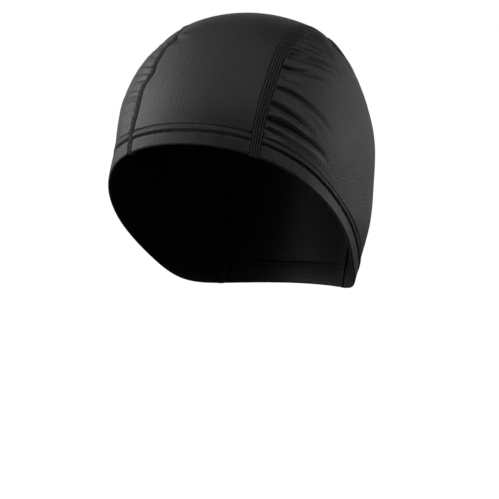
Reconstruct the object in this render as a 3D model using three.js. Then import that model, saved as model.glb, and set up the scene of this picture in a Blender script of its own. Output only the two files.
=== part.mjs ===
// Close-fitting liner cap in black stretch knit: a smooth centre panel from forehead to nape,
// two side panels gathered along flat seams, and a folded hem that drops from forehead to nape.
// Millimetres, +Z up, front toward -Y, wearer's left toward +X.
// The origin is the inside of the crown's top, where the cap rests on what it covers.
import * as THREE from 'three';

// Outer form
const CAP_WIDTH = 153;
const FRONT_REACH = 99;
const BACK_REACH = 97;
const FORM_DEPTH = 180;
const BACK_BREADTH = 0.03;
const CORNER_FULLNESS = 0.02;
const FRONT_FULLNESS = 0.043;

// Hem edge, as depths below the crown's top
const FRONT_DEPTH = 76;
const BACK_DEPTH = 174;
const LEVEL_FROM = 34;
const LEVEL_ROUNDING = 10;

// Panels and seams
const PANEL_WALL = 1.2;
const SEAM_SPACING_FRONT = 80.6;
const SEAM_SPACING_BACK = 84;
const SEAM_WIDTH = 6.3;
const SEAM_RISE = 0.35;
const SEAM_SINK = 0.2;
const SEAM_SHOULDER = 0.55;
const SEAM_STEP = 3;
const GAP = 0.3;

// Folded hem with its raised band between two rows of stitching
const HEM_HEIGHT = 12.3;
const HEM_RISE = 0.4;
const HEM_SINK = 0.6;
const HEM_FOLD = 0.7;
const HEM_SHOULDER = 1.5;
const STITCH_ROW_LOW = 8.4;
const STITCH_ROW_HIGH = 11.4;
const STITCH_GROOVE = 0.35;
const STITCH_RIDGE = 0.15;
const STITCH_HALF = 0.6;
const HEM_FLARE = 2.2;

// Gathers: a soft roll of cloth along each seam, cut by folds
const ROLL_HEIGHT = 1.5;
const ROLL_RISE = 0.05;
const ROLL_REACH = 0.36;
const FOLD_DEPTH = 1.7;
const FOLD_FEATHER = 0.02;

// The reach of the form at each level, as shares of its depth, half width, front and back reach
const LEVELS = [
  { depth: 0.0, side: 0.0, front: 0.0, back: 0.0 },
  { depth: 0.067, side: 0.595, front: 0.419, back: 0.432 },
  { depth: 0.167, side: 0.808, front: 0.647, back: 0.659 },
  { depth: 0.306, side: 0.935, front: 0.881, back: 0.847 },
  { depth: 0.444, side: 0.996, front: 0.984, back: 0.964 },
  { depth: 0.583, side: 0.984, front: 1.02, back: 1.0 },
  { depth: 0.722, side: 0.955, front: 1.0, back: 0.978 },
  { depth: 0.861, side: 0.868, front: 0.984, back: 0.911 },
  { depth: 1.0, side: 0.787, front: 0.949, back: 0.814 },
];

// Sideways sway of the wearer's left seam, away from the cap's middle, where the gathers pull it:
// shares of the way along the seam from the front hem edge, and shares of SEAM_SPACING_FRONT
const LEFT_SWAY = [
  { at: 0, sway: -0.008 },
  { at: 0.042, sway: 0 },
  { at: 0.135, sway: 0.004 },
  { at: 0.25, sway: -0.002 },
  { at: 0.29, sway: 0.006 },
  { at: 0.335, sway: 0 },
  { at: 0.45, sway: 0.004 },
  { at: 0.6, sway: -0.005 },
  { at: 0.75, sway: 0.005 },
  { at: 0.9, sway: -0.003 },
  { at: 1, sway: 0 },
];

// Sideways sway of the wearer's right seam, in the same columns
const RIGHT_SWAY = [
  { at: 0, sway: -0.024 },
  { at: 0.02, sway: -0.016 },
  { at: 0.038, sway: -0.009 },
  { at: 0.055, sway: -0.019 },
  { at: 0.075, sway: -0.025 },
  { at: 0.1, sway: -0.016 },
  { at: 0.127, sway: -0.026 },
  { at: 0.151, sway: -0.062 },
  { at: 0.173, sway: -0.052 },
  { at: 0.195, sway: -0.066 },
  { at: 0.22, sway: -0.075 },
  { at: 0.247, sway: -0.126 },
  { at: 0.268, sway: -0.11 },
  { at: 0.295, sway: -0.086 },
  { at: 0.36, sway: -0.046 },
  { at: 0.46, sway: -0.012 },
  { at: 0.6, sway: 0.006 },
  { at: 0.8, sway: -0.005 },
  { at: 1, sway: 0 },
];

// Folds of the wearer's left panel: where each leaves the seam, counted from the front end of the
// panel, and its half width, drift and bend along the seam, all as shares of the seam; its depth
// as a share of FOLD_DEPTH; and how far down the panel it runs, as a share of the panel
const LEFT_FOLDS = [
  { at: 0.004, width: 0.008, depth: 0.35, reach: 0.12, drift: 0.02, bend: 0 },
  { at: 0.0135, width: 0.01, depth: 0.6, reach: 0.2, drift: 0, bend: 0 },
  { at: 0.032, width: 0.014, depth: 1, reach: 0.6, drift: 0.035, bend: 0.05 },
  { at: 0.046, width: 0.008, depth: 0.35, reach: 0.14, drift: 0.1, bend: 0 },
  { at: 0.062, width: 0.013, depth: 0.85, reach: 0.42, drift: 0.05, bend: 0 },
  { at: 0.098, width: 0.013, depth: 0.8, reach: 0.5, drift: 0.15, bend: 0 },
  { at: 0.125, width: 0.01, depth: 0.3, reach: 0.2, drift: 0.2, bend: 0.2 },
  { at: 0.139, width: 0.009, depth: 0.3, reach: 0.12, drift: 0.27, bend: 0 },
  { at: 0.157, width: 0.013, depth: 0.85, reach: 0.28, drift: 0.15, bend: 1.1 },
  { at: 0.189, width: 0.009, depth: 0.45, reach: 0.26, drift: 0.25, bend: 1.1 },
  { at: 0.2, width: 0.009, depth: 0.45, reach: 0.22, drift: 0.27, bend: 1.3 },
  { at: 0.221, width: 0.009, depth: 0.45, reach: 0.24, drift: 0.2, bend: 1.5 },
  { at: 0.245, width: 0.01, depth: 0.3, reach: 0.2, drift: 0.25, bend: 1.2 },
  { at: 0.272, width: 0.011, depth: 0.45, reach: 0.2, drift: 0.25, bend: 1.2 },
  { at: 0.306, width: 0.011, depth: 0.45, reach: 0.2, drift: 0.28, bend: 0.8 },
  { at: 0.352, width: 0.014, depth: 0.6, reach: 0.24, drift: 0.25, bend: 0.6 },
  { at: 0.4, width: 0.02, depth: 0.4, reach: 0.26, drift: 0.1, bend: 0.3 },
  { at: 0.455, width: 0.02, depth: 0.4, reach: 0.28, drift: 0, bend: 0 },
  { at: 0.51, width: 0.022, depth: 0.45, reach: 0.3, drift: -0.05, bend: -0.2 },
  { at: 0.565, width: 0.02, depth: 0.4, reach: 0.3, drift: -0.12, bend: -0.4 },
  { at: 0.62, width: 0.022, depth: 0.5, reach: 0.3, drift: -0.18, bend: -0.5 },
  { at: 0.675, width: 0.02, depth: 0.5, reach: 0.3, drift: -0.2, bend: -0.6 },
  { at: 0.73, width: 0.022, depth: 0.6, reach: 0.32, drift: -0.2, bend: -0.5 },
  { at: 0.785, width: 0.02, depth: 0.6, reach: 0.34, drift: -0.18, bend: -0.3 },
  { at: 0.835, width: 0.018, depth: 0.7, reach: 0.36, drift: -0.15, bend: -0.1 },
  { at: 0.88, width: 0.018, depth: 0.8, reach: 0.4, drift: -0.1, bend: 0 },
  { at: 0.92, width: 0.016, depth: 0.8, reach: 0.42, drift: -0.06, bend: 0 },
  { at: 0.955, width: 0.014, depth: 0.6, reach: 0.36, drift: -0.03, bend: 0 },
  { at: 0.98, width: 0.012, depth: 0.4, reach: 0.2, drift: 0, bend: 0 },
];

// Folds of the wearer's right panel, in the same columns
const RIGHT_FOLDS = [
  { at: 0.012, width: 0.01, depth: 0.4, reach: 0.16, drift: 0.02, bend: 0 },
  { at: 0.036, width: 0.01, depth: 0.4, reach: 0.2, drift: 0.02, bend: 0 },
  { at: 0.051, width: 0.01, depth: 0.5, reach: 0.25, drift: 0.03, bend: 0 },
  { at: 0.067, width: 0.014, depth: 1, reach: 0.5, drift: 0.12, bend: 0.1 },
  { at: 0.087, width: 0.012, depth: 0.7, reach: 0.4, drift: 0.14, bend: 0.4 },
  { at: 0.108, width: 0.012, depth: 0.7, reach: 0.3, drift: 0.2, bend: 0.2 },
  { at: 0.13, width: 0.012, depth: 0.8, reach: 0.3, drift: 0.15, bend: 0.8 },
  { at: 0.15, width: 0.012, depth: 0.7, reach: 0.3, drift: 0.2, bend: 0.9 },
  { at: 0.178, width: 0.01, depth: 0.4, reach: 0.24, drift: 0.25, bend: 1 },
  { at: 0.205, width: 0.01, depth: 0.45, reach: 0.24, drift: 0.25, bend: 1.1 },
  { at: 0.232, width: 0.012, depth: 0.5, reach: 0.24, drift: 0.25, bend: 1.2 },
  { at: 0.262, width: 0.012, depth: 0.5, reach: 0.22, drift: 0.25, bend: 1.1 },
  { at: 0.3, width: 0.014, depth: 0.5, reach: 0.22, drift: 0.25, bend: 0.8 },
  { at: 0.345, width: 0.016, depth: 0.45, reach: 0.24, drift: 0.2, bend: 0.6 },
  { at: 0.395, width: 0.02, depth: 0.4, reach: 0.26, drift: 0.1, bend: 0.3 },
  { at: 0.445, width: 0.022, depth: 0.45, reach: 0.28, drift: 0.02, bend: 0 },
  { at: 0.495, width: 0.02, depth: 0.4, reach: 0.3, drift: -0.04, bend: -0.1 },
  { at: 0.55, width: 0.022, depth: 0.5, reach: 0.3, drift: -0.1, bend: -0.3 },
  { at: 0.605, width: 0.022, depth: 0.45, reach: 0.3, drift: -0.16, bend: -0.5 },
  { at: 0.66, width: 0.02, depth: 0.5, reach: 0.32, drift: -0.2, bend: -0.6 },
  { at: 0.71, width: 0.022, depth: 0.6, reach: 0.32, drift: -0.2, bend: -0.5 },
  { at: 0.765, width: 0.02, depth: 0.55, reach: 0.34, drift: -0.18, bend: -0.3 },
  { at: 0.815, width: 0.018, depth: 0.65, reach: 0.36, drift: -0.16, bend: -0.1 },
  { at: 0.86, width: 0.018, depth: 0.75, reach: 0.4, drift: -0.1, bend: 0 },
  { at: 0.905, width: 0.016, depth: 0.8, reach: 0.42, drift: -0.06, bend: 0 },
  { at: 0.94, width: 0.014, depth: 0.65, reach: 0.38, drift: -0.04, bend: 0 },
  { at: 0.972, width: 0.012, depth: 0.45, reach: 0.22, drift: 0, bend: 0 },
];

// How finely each piece is divided
const FRONT_CROWDING = 0.62;
const CENTRE_ROWS = 70;
const CENTRE_COLUMNS = 6;
const SIDE_ROWS = 88;
const SIDE_STEPS = [0, 0.05, 0.12, 0.21, 0.32, 0.46, 0.64, 0.82, 1];
const SEAM_ROWS = 84;
const HEM_STEP = 7.5;
const LENGTH_STEPS = 40;

// The stretch of hem that a side panel's lower edge meets, as angles about the vertical
const EAR_FRONT = THREE.MathUtils.degToRad(-26);
const EAR_BACK = THREE.MathUtils.degToRad(20);
const TEMPLE = THREE.MathUtils.degToRad(-32);
const TEMPLE_SPREAD = THREE.MathUtils.degToRad(30);

const FRONT_MIDDLE = -Math.PI / 2;
const BACK_MIDDLE = Math.PI / 2;
const CROWN_TOP = PANEL_WALL;
const CORE_LEVEL = 0.39;
const CORE = new THREE.Vector3(0, 0, CROWN_TOP - CORE_LEVEL * FORM_DEPTH);

// How closely points are found on the form
const FARTHEST = FRONT_REACH + BACK_REACH + FORM_DEPTH;
const LEAST_DEPTH = 1e-4;
const MOST_TRIES = 60;
const CLOSE_ENOUGH = 1e-6;
const PROBE = 1;
const PROBE_ANGLE = 0.01;
const NARROW_STEPS = 40;
const FOOT_TRIES = 4;

const KNIT = { color: 0x2a2b2f, roughness: 0.62, metalness: 0 };
const THREAD = { color: 0x1c1b22, roughness: 0.7, metalness: 0 };
const HEM_KNIT = { color: 0x26272b, roughness: 0.64, metalness: 0 };

// A natural cubic curve through the points, as a function of x
function smoothCurve(xs, ys) {
  const last = xs.length - 1;
  const bend = new Array(last + 1).fill(0);
  const ratio = new Array(last + 1).fill(0);
  for (let i = 1; i < last; i += 1) {
    const before = xs[i] - xs[i - 1];
    const after = xs[i + 1] - xs[i];
    const kink = 6 * ((ys[i + 1] - ys[i]) / after - (ys[i] - ys[i - 1]) / before);
    const pivot = 2 * (before + after) - before * ratio[i - 1];
    ratio[i] = after / pivot;
    bend[i] = (kink - before * bend[i - 1]) / pivot;
  }
  for (let i = last - 1; i > 0; i -= 1) {
    bend[i] -= ratio[i] * bend[i + 1];
  }
  return (x) => {
    let i = 0;
    while (i < last - 1 && x > xs[i + 1]) {
      i += 1;
    }
    const step = xs[i + 1] - xs[i];
    const p = (xs[i + 1] - x) / step;
    const q = (x - xs[i]) / step;
    const curve = (p ** 3 - p) * bend[i] + (q ** 3 - q) * bend[i + 1];
    return p * ys[i] + q * ys[i + 1] + (curve * step * step) / 6;
  };
}

const levelDepths = LEVELS.map((level) => level.depth * FORM_DEPTH);
const sideSquared = smoothCurve(
  levelDepths,
  LEVELS.map((level) => (level.side * CAP_WIDTH) ** 2 / 4),
);
const frontSquared = smoothCurve(
  levelDepths,
  LEVELS.map((level) => (level.front * FRONT_REACH) ** 2),
);
const backSquared = smoothCurve(
  levelDepths,
  LEVELS.map((level) => (level.back * BACK_REACH) ** 2),
);

// Distance from the vertical axis to the form at a depth below the crown and an angle
function reachAt(depth, angle) {
  const level = THREE.MathUtils.clamp(depth, LEAST_DEPTH, FORM_DEPTH);
  const turn = Math.sin(angle);
  const side = sideSquared(level) * (1 + BACK_BREADTH * turn);
  const front = frontSquared(level);
  const back = backSquared(level);
  const length = (back + front) / 2 + ((back - front) / 2) * turn;
  const oval = 1 / Math.sqrt(Math.cos(angle) ** 2 / side + turn ** 2 / length);
  const fullness = CORNER_FULLNESS - FRONT_FULLNESS * turn;
  return oval * (1 + fullness * Math.sin(2 * angle) ** 2);
}

// How far a point stands outside the form, level with it: negative inside
function outsideBy(x, y, z) {
  return Math.hypot(x, y) - reachAt(CROWN_TOP - z, Math.atan2(y, x));
}

// The value between two others at which a rising measure passes through zero,
// by false position with the stale end's weight halved
function zeroBetween(low, high, measure) {
  let from = low;
  let to = high;
  let below = measure(from);
  let above = measure(to);
  let value = from;
  for (let i = 0; i < MOST_TRIES; i += 1) {
    value = (from * above - to * below) / (above - below);
    const found = measure(value);
    if (Math.abs(found) < CLOSE_ENOUGH) {
      return value;
    }
    if (found > 0) {
      to = value;
      above = found;
      below /= 2;
    } else {
      from = value;
      below = found;
      above /= 2;
    }
  }
  return value;
}

// The point of the form that is seen from its core toward the given point
function ontoForm(point) {
  const ray = point.clone().sub(CORE).normalize();
  const distance = zeroBetween(0, FARTHEST, (d) =>
    outsideBy(CORE.x + ray.x * d, CORE.y + ray.y * d, CORE.z + ray.z * d),
  );
  return ray.multiplyScalar(distance).add(CORE);
}

// Outward unit normal of the form, from four neighbours of the point
function outwardAt(point) {
  const ray = point.clone().sub(CORE).normalize();
  const steep = Math.abs(ray.z) > Math.SQRT1_2;
  const helper = steep ? new THREE.Vector3(0, 1, 0) : new THREE.Vector3(0, 0, 1);
  const across = new THREE.Vector3().crossVectors(helper, ray).normalize();
  const along = new THREE.Vector3().crossVectors(ray, across);
  const near = (direction, distance) =>
    ontoForm(point.clone().addScaledVector(direction, distance));
  const first = near(across, PROBE).sub(near(across, -PROBE));
  const second = near(along, PROBE).sub(near(along, -PROBE));
  return first.cross(second).normalize();
}

// A point lifted off the form by a height along the outward normal
function lifted(point, height) {
  return point.clone().addScaledVector(outwardAt(point), height);
}

// Depth of the hem edge: an even slope from the forehead that levels off toward the nape
function hemDepth(y) {
  const slope = (BACK_DEPTH - FRONT_DEPTH) / (FRONT_REACH + LEVEL_FROM);
  const ahead = (LEVEL_FROM - y) / LEVEL_ROUNDING;
  return BACK_DEPTH - slope * LEVEL_ROUNDING * Math.log1p(Math.exp(ahead));
}

// Point of the hem edge at an angle about the vertical
function hemEdge(angle) {
  const height = (d) => d - hemDepth(reachAt(d, angle) * Math.sin(angle));
  const depth = zeroBetween(0, FORM_DEPTH, height);
  const reach = reachAt(depth, angle);
  return new THREE.Vector3(reach * Math.cos(angle), reach * Math.sin(angle), CROWN_TOP - depth);
}

// Point of the form that lies a height above the hem edge, square to it
function hemLine(angle, height) {
  const edge = hemEdge(angle);
  const forward = hemEdge(angle + PROBE_ANGLE).sub(hemEdge(angle - PROBE_ANGLE)).normalize();
  const upward = outwardAt(edge).cross(forward).normalize();
  return ontoForm(edge.addScaledVector(upward, height));
}

// Angle at which the hem line of a height stands at a distance x from the middle
function hemAngle(x, height, middle) {
  const turn = Math.sign(middle);
  const away = zeroBetween(0, Math.PI / 2, (a) => hemLine(middle - turn * a, height).x - Math.abs(x));
  return x < 0 ? middle + turn * away : middle - turn * away;
}

// Half the space between the seams at a share of the way from front hem to back hem
function seamOffset(share) {
  return THREE.MathUtils.lerp(SEAM_SPACING_FRONT, SEAM_SPACING_BACK, share) / 2;
}

// Point of the form at a distance x from the middle and an angle about the core's cross axis
function coursePoint(angle, x) {
  const y = -Math.cos(angle);
  const z = Math.sin(angle);
  const distance = zeroBetween(0, FARTHEST, (d) => outsideBy(x, CORE.y + y * d, CORE.z + z * d));
  return new THREE.Vector3(x, CORE.y + y * distance, CORE.z + z * distance);
}

function courseAngle(point) {
  const angle = Math.atan2(point.z - CORE.z, CORE.y - point.y);
  return angle < -Math.PI / 2 ? angle + 2 * Math.PI : angle;
}

// The course of a seam over the form: the angles about the core's cross axis at which it crosses
// the hem edge, its sway, and its offsets, which are narrower across the cap than along the cloth
function makeSeam(side, rows) {
  const ats = rows.map((row) => row.at);
  const sway = smoothCurve(ats, rows.map((row) => row.sway * SEAM_SPACING_FRONT));
  const crossing = (share, middle) =>
    courseAngle(hemLine(hemAngle(side * seamOffset(share), 0, middle), 0));
  const first = crossing(0, FRONT_MIDDLE);
  const last = crossing(1, BACK_MIDDLE);
  const angleAt = (share) => THREE.MathUtils.lerp(first, last, share);
  const middleAt = (share) => seamOffset(share) + sway(THREE.MathUtils.clamp(share, 0, 1));
  const shares = evenShares(NARROW_STEPS);
  const narrowing = smoothCurve(
    shares,
    shares.map((share) => {
      const normal = outwardAt(coursePoint(angleAt(share), side * middleAt(share)));
      return Math.sqrt(1 - normal.x ** 2);
    }),
  );
  const acrossAt = (share, offset) => side * (middleAt(share) + offset * narrowing(share));
  const pointAt = (share, offset) => coursePoint(angleAt(share), acrossAt(share, offset));
  const shareOf = (point) => (courseAngle(point) - first) / (last - first);
  return { side, acrossAt, pointAt, shareOf };
}

// Where a line beside a seam meets the hem line of a height: its share of the seam and its place x
function seamFoot(seam, offset, height, middle) {
  let share = middle === FRONT_MIDDLE ? 0 : 1;
  let x = seam.acrossAt(share, offset);
  for (let i = 0; i < FOOT_TRIES; i += 1) {
    share = seam.shareOf(hemLine(hemAngle(x, height, middle), height));
    x = seam.acrossAt(share, offset);
  }
  return { share, x };
}

// A line beside a seam, from the front hem line to the back hem line of the given height.
// The offset is counted from the seam's middle, away from the cap's middle.
function seamSide(seam, offset, height) {
  const start = seamFoot(seam, offset, height, FRONT_MIDDLE).share;
  const end = seamFoot(seam, offset, height, BACK_MIDDLE).share;
  return (share) => seam.pointAt(THREE.MathUtils.lerp(start, end, share), offset);
}

// The hem line of a height between two distances from the middle, at the front or the back
function hemRun(startAngle, endAngle, height) {
  return (share) => hemLine(THREE.MathUtils.lerp(startAngle, endAngle, share), height);
}

// A grid of points on the form that fills four border curves.
// The first two run along the rows, the last two across them.
function fillBorders(near, far, start, end, rowShares, columnShares) {
  const corners = [near(0), near(1), far(0), far(1)];
  const nearPoints = rowShares.map(near);
  const farPoints = rowShares.map(far);
  const startPoints = columnShares.map(start);
  const endPoints = columnShares.map(end);
  return rowShares.map((s, i) =>
    columnShares.map((t, j) => {
      const point = new THREE.Vector3();
      point.addScaledVector(nearPoints[i], 1 - t).addScaledVector(farPoints[i], t);
      point.addScaledVector(startPoints[j], 1 - s).addScaledVector(endPoints[j], s);
      point.addScaledVector(corners[0], -(1 - s) * (1 - t));
      point.addScaledVector(corners[1], -s * (1 - t));
      point.addScaledVector(corners[2], -(1 - s) * t);
      point.addScaledVector(corners[3], -s * t);
      return ontoForm(point);
    }),
  );
}

function evenShares(count) {
  return Array.from({ length: count + 1 }, (_, i) => i / count);
}

// Shares that lie closer together toward the front, where the folds are finest
function frontShares(count) {
  return evenShares(count).map((u) => u * (FRONT_CROWDING + (1 - FRONT_CROWDING) * u));
}

// A mesh from points and triangles, turned so that its volume is positive
function solidMesh(name, points, triangles, finish) {
  let volume = 0;
  triangles.forEach(([a, b, c]) => {
    volume += points[a].dot(points[b].clone().cross(points[c]));
  });
  const ordered = volume < 0 ? triangles.map(([a, b, c]) => [a, c, b]) : triangles;
  const geometry = new THREE.BufferGeometry();
  geometry.setFromPoints(points);
  geometry.setIndex(ordered.flat());
  geometry.computeVertexNormals();
  const mesh = new THREE.Mesh(geometry, new THREE.MeshStandardMaterial(finish));
  mesh.name = name;
  return mesh;
}

// Two triangles for a quad, split along its shorter diagonal
function quad(points, a, b, c, d) {
  const shorter = points[a].distanceTo(points[c]) <= points[b].distanceTo(points[d]);
  return shorter ? [[a, b, c], [a, c, d]] : [[a, b, d], [b, c, d]];
}

// A cloth wall between an outer and an inner face over a grid, closed round its border
function clothWall(name, grid, heightAt, finish) {
  const rows = grid.length;
  const columns = grid[0].length;
  const outer = [];
  const inner = [];
  grid.forEach((row, i) =>
    row.forEach((point, j) => {
      const normal = outwardAt(point);
      const height = heightAt(i, j);
      outer.push(point.clone().addScaledVector(normal, height));
      inner.push(point.clone().addScaledVector(normal, height - PANEL_WALL));
    }),
  );
  const points = [...outer, ...inner];
  const under = outer.length;
  const triangles = [];
  const at = (i, j) => i * columns + j;
  for (let i = 0; i + 1 < rows; i += 1) {
    for (let j = 0; j + 1 < columns; j += 1) {
      const faces = quad(points, at(i, j), at(i + 1, j), at(i + 1, j + 1), at(i, j + 1));
      triangles.push(...faces, ...faces.map(([a, b, c]) => [a + under, c + under, b + under]));
    }
  }
  const rowSteps = Array.from({ length: rows - 1 }, (_, i) => i);
  const columnSteps = Array.from({ length: columns - 1 }, (_, j) => j);
  const border = [
    ...rowSteps.map((i) => at(i, 0)),
    ...columnSteps.map((j) => at(rows - 1, j)),
    ...rowSteps.map((i) => at(rows - 1 - i, columns - 1)),
    ...columnSteps.map((j) => at(0, columns - 1 - j)),
  ];
  border.forEach((a, k) => {
    const b = border[(k + 1) % border.length];
    triangles.push([a, b + under, b], [a, a + under, b + under]);
  });
  return solidMesh(name, points, triangles, finish);
}

// A bar whose closed section is carried from station to station, with flat ends
function sweptBar(name, section, stations, finish) {
  const points = stations.flat();
  const size = section.length;
  const triangles = [];
  for (let i = 0; i + 1 < stations.length; i += 1) {
    for (let j = 0; j < size; j += 1) {
      const next = (j + 1) % size;
      const a = i * size + j;
      const b = i * size + next;
      triangles.push(...quad(points, a, b, b + size, a + size));
    }
  }
  const outline = section.map(([x, y]) => new THREE.Vector2(x, y));
  const far = (stations.length - 1) * size;
  const clockwise = THREE.ShapeUtils.isClockWise(outline);
  THREE.ShapeUtils.triangulateShape(outline, []).forEach(([a, second, third]) => {
    const [b, c] = clockwise ? [third, second] : [second, third];
    triangles.push([a, c, b], [far + a, far + b, far + c]);
  });
  return solidMesh(name, points, triangles, finish);
}

// Height of a side panel off the form at a share of the seam and of the panel: the roll along the
// seam, cut by the folds, each a bell across its course that fades as it runs out
function gatherHeight(folds, s, t) {
  const rise = Math.min(1, t / ROLL_RISE);
  let height = ROLL_HEIGHT * rise * (1 - THREE.MathUtils.smoothstep(t, 0, ROLL_REACH));
  folds.forEach((fold) => {
    const offset = (s - fold.at - fold.drift * t - fold.bend * t * t) / fold.width;
    if (Math.abs(offset) < 1 && t < fold.reach) {
      const bell = (1 + Math.cos(Math.PI * offset)) / 2;
      const fade = Math.cos((Math.PI / 2) * (t / fold.reach)) ** 1.5;
      height -= FOLD_DEPTH * fold.depth * bell * fade * rise;
    }
  });
  const atHem = Math.min(1, s / FOLD_FEATHER, (1 - s) / FOLD_FEATHER);
  return height * Math.sqrt(Math.max(atHem, 0));
}

const PANEL_FOOT = HEM_HEIGHT + GAP;
const SEAM_EDGE = SEAM_WIDTH / 2 + GAP;
const LEFT_SEAM = makeSeam(1, LEFT_SWAY);
const RIGHT_SEAM = makeSeam(-1, RIGHT_SWAY);

// Angle about the vertical at which a seam's edge meets the hem line of a height
function footAngle(seam, offset, height, middle) {
  return hemAngle(seamFoot(seam, offset, height, middle).x, height, middle);
}

function centrePanel() {
  const right = seamSide(RIGHT_SEAM, -SEAM_EDGE, PANEL_FOOT);
  const left = seamSide(LEFT_SEAM, -SEAM_EDGE, PANEL_FOOT);
  const end = (middle) =>
    hemRun(
      footAngle(RIGHT_SEAM, -SEAM_EDGE, PANEL_FOOT, middle),
      footAngle(LEFT_SEAM, -SEAM_EDGE, PANEL_FOOT, middle),
      PANEL_FOOT,
    );
  const rows = frontShares(CENTRE_ROWS);
  const columns = evenShares(CENTRE_COLUMNS);
  const grid = fillBorders(right, left, end(FRONT_MIDDLE), end(BACK_MIDDLE), rows, columns);
  return clothWall('centre_panel', grid, () => 0, KNIT);
}

// A side panel, filled as the wearer's left one and then mirrored if it is the right one
function sidePanel(name, seam, folds) {
  const mirrored = (point) => new THREE.Vector3(seam.side * point.x, point.y, point.z);
  const line = seamSide(seam, SEAM_EDGE, PANEL_FOOT);
  const endAngle = (middle) => {
    const foot = seamFoot(seam, SEAM_EDGE, PANEL_FOOT, middle);
    return hemAngle(Math.abs(foot.x), PANEL_FOOT, middle);
  };
  const ear = hemRun(EAR_FRONT, EAR_BACK, PANEL_FOOT);
  const front = hemRun(endAngle(FRONT_MIDDLE), EAR_FRONT, PANEL_FOOT);
  const back = hemRun(endAngle(BACK_MIDDLE), EAR_BACK, PANEL_FOOT);
  const rows = frontShares(SIDE_ROWS);
  const grid = fillBorders((s) => mirrored(line(s)), ear, front, back, rows, SIDE_STEPS);
  const mirroredGrid = grid.map((row) => row.map(mirrored));
  const heightAt = (i, j) => gatherHeight(folds, rows[i], SIDE_STEPS[j]);
  return clothWall(name, mirroredGrid, heightAt, KNIT);
}

// A flat seam from hem edge to hem edge over the crown, thicker where it crosses the hem
function seamStrip(name, seam) {
  const half = SEAM_WIDTH / 2;
  const section = [
    [-half, -1],
    [half, -1],
    [half, SEAM_SHOULDER],
    [SEAM_SHOULDER * half, 1],
    [-SEAM_SHOULDER * half, 1],
    [-half, SEAM_SHOULDER],
  ];
  const lines = section.map(([offset]) => seamSide(seam, offset, 0));
  const length = lineLength(lines[0]);
  const stations = frontShares(SEAM_ROWS).map((share) => {
    const fromHem = Math.min(share, 1 - share) * length;
    const onHem = 1 - THREE.MathUtils.smoothstep(fromHem, HEM_HEIGHT, HEM_HEIGHT + SEAM_STEP);
    return section.map(([, level], k) => {
      const rise = SEAM_RISE + onHem * HEM_RISE;
      const sink = PANEL_WALL + SEAM_SINK + onHem * HEM_SINK;
      return lifted(lines[k](share), level > 0 ? level * rise : -sink);
    });
  });
  return sweptBar(name, section, stations, THREAD);
}

// Length of a line along the cap, by adding up short steps
function lineLength(line) {
  const points = evenShares(LENGTH_STEPS).map(line);
  return points.slice(1).reduce((sum, point, i) => sum + point.distanceTo(points[i]), 0);
}

// Section of the folded hem: height above its edge, and distance out from the form
const HEM_SECTION = [
  [0, -PANEL_WALL / 2],
  [HEM_FOLD, HEM_RISE],
  [STITCH_ROW_LOW - STITCH_HALF, HEM_RISE],
  [STITCH_ROW_LOW, HEM_RISE - STITCH_GROOVE],
  [STITCH_ROW_LOW + STITCH_HALF, HEM_RISE + STITCH_RIDGE],
  [STITCH_ROW_HIGH - STITCH_HALF, HEM_RISE],
  [HEM_HEIGHT, 0],
  [HEM_HEIGHT, -PANEL_WALL],
  [HEM_HEIGHT - HEM_SHOULDER, -PANEL_WALL - HEM_SINK],
  [HEM_FOLD, -PANEL_WALL - HEM_SINK],
];

// How far the hem stands off at an angle: most at the temples, and only at its lower edge
function hemFlare(angle, height) {
  const side = Math.cos(angle) < 0 ? -Math.PI - angle : angle;
  const fromTemple = Math.atan2(Math.sin(side - TEMPLE), Math.cos(side - TEMPLE));
  const bell = Math.exp(-((fromTemple / TEMPLE_SPREAD) ** 2));
  return HEM_FLARE * bell * (1 - height / HEM_HEIGHT) ** 1.5;
}

// A stretch of hem between two seams, whose ends follow the seams at every height
function hemArc(name, offset, from, to, wrap) {
  const angle = (end, height) => footAngle(end.seam, offset, height, end.middle);
  const starts = HEM_SECTION.map(([height]) => angle(from, height));
  const ends = HEM_SECTION.map(([height]) => angle(to, height) + wrap);
  const count = Math.ceil(lineLength(hemRun(starts[0], ends[0], 0)) / HEM_STEP);
  const stations = evenShares(count).map((share) =>
    HEM_SECTION.map(([height, out], k) => {
      const angle = THREE.MathUtils.lerp(starts[k], ends[k], share);
      const point = hemLine(angle, height);
      return lifted(point, out + hemFlare(angle, height));
    }),
  );
  return sweptBar(name, HEM_SECTION, stations, HEM_KNIT);
}

const cap = new THREE.Group();
cap.name = 'helmet_liner_cap';

const shell = new THREE.Group();
shell.add(centrePanel());
shell.add(sidePanel('side_panel_left', LEFT_SEAM, LEFT_FOLDS));
shell.add(sidePanel('side_panel_right', RIGHT_SEAM, RIGHT_FOLDS));
cap.add(shell);

const seams = new THREE.Group();
seams.add(seamStrip('seam_left', LEFT_SEAM));
seams.add(seamStrip('seam_right', RIGHT_SEAM));
cap.add(seams);

const leftFront = { seam: LEFT_SEAM, middle: FRONT_MIDDLE };
const leftBack = { seam: LEFT_SEAM, middle: BACK_MIDDLE };
const rightFront = { seam: RIGHT_SEAM, middle: FRONT_MIDDLE };
const rightBack = { seam: RIGHT_SEAM, middle: BACK_MIDDLE };
const hem = new THREE.Group();
hem.add(hemArc('hem_front', -SEAM_EDGE, rightFront, leftFront, 0));
hem.add(hemArc('hem_left', SEAM_EDGE, leftFront, leftBack, 0));
hem.add(hemArc('hem_back', -SEAM_EDGE, leftBack, rightBack, 0));
hem.add(hemArc('hem_right', SEAM_EDGE, rightBack, rightFront, 2 * Math.PI));
cap.add(hem);

export default cap;
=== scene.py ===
"""Visual model of a close-fitting helmet liner cap in black stretch knit.

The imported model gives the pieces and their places. Each of its solids is replaced by a finely
divided piece on the same form: three cloth panels with their gathers, two flat seams with their
rows of thread, and the folded hem with its cover stitching.
"""

import logging
import math
from dataclasses import dataclass
from enum import Enum
from typing import Callable

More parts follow.
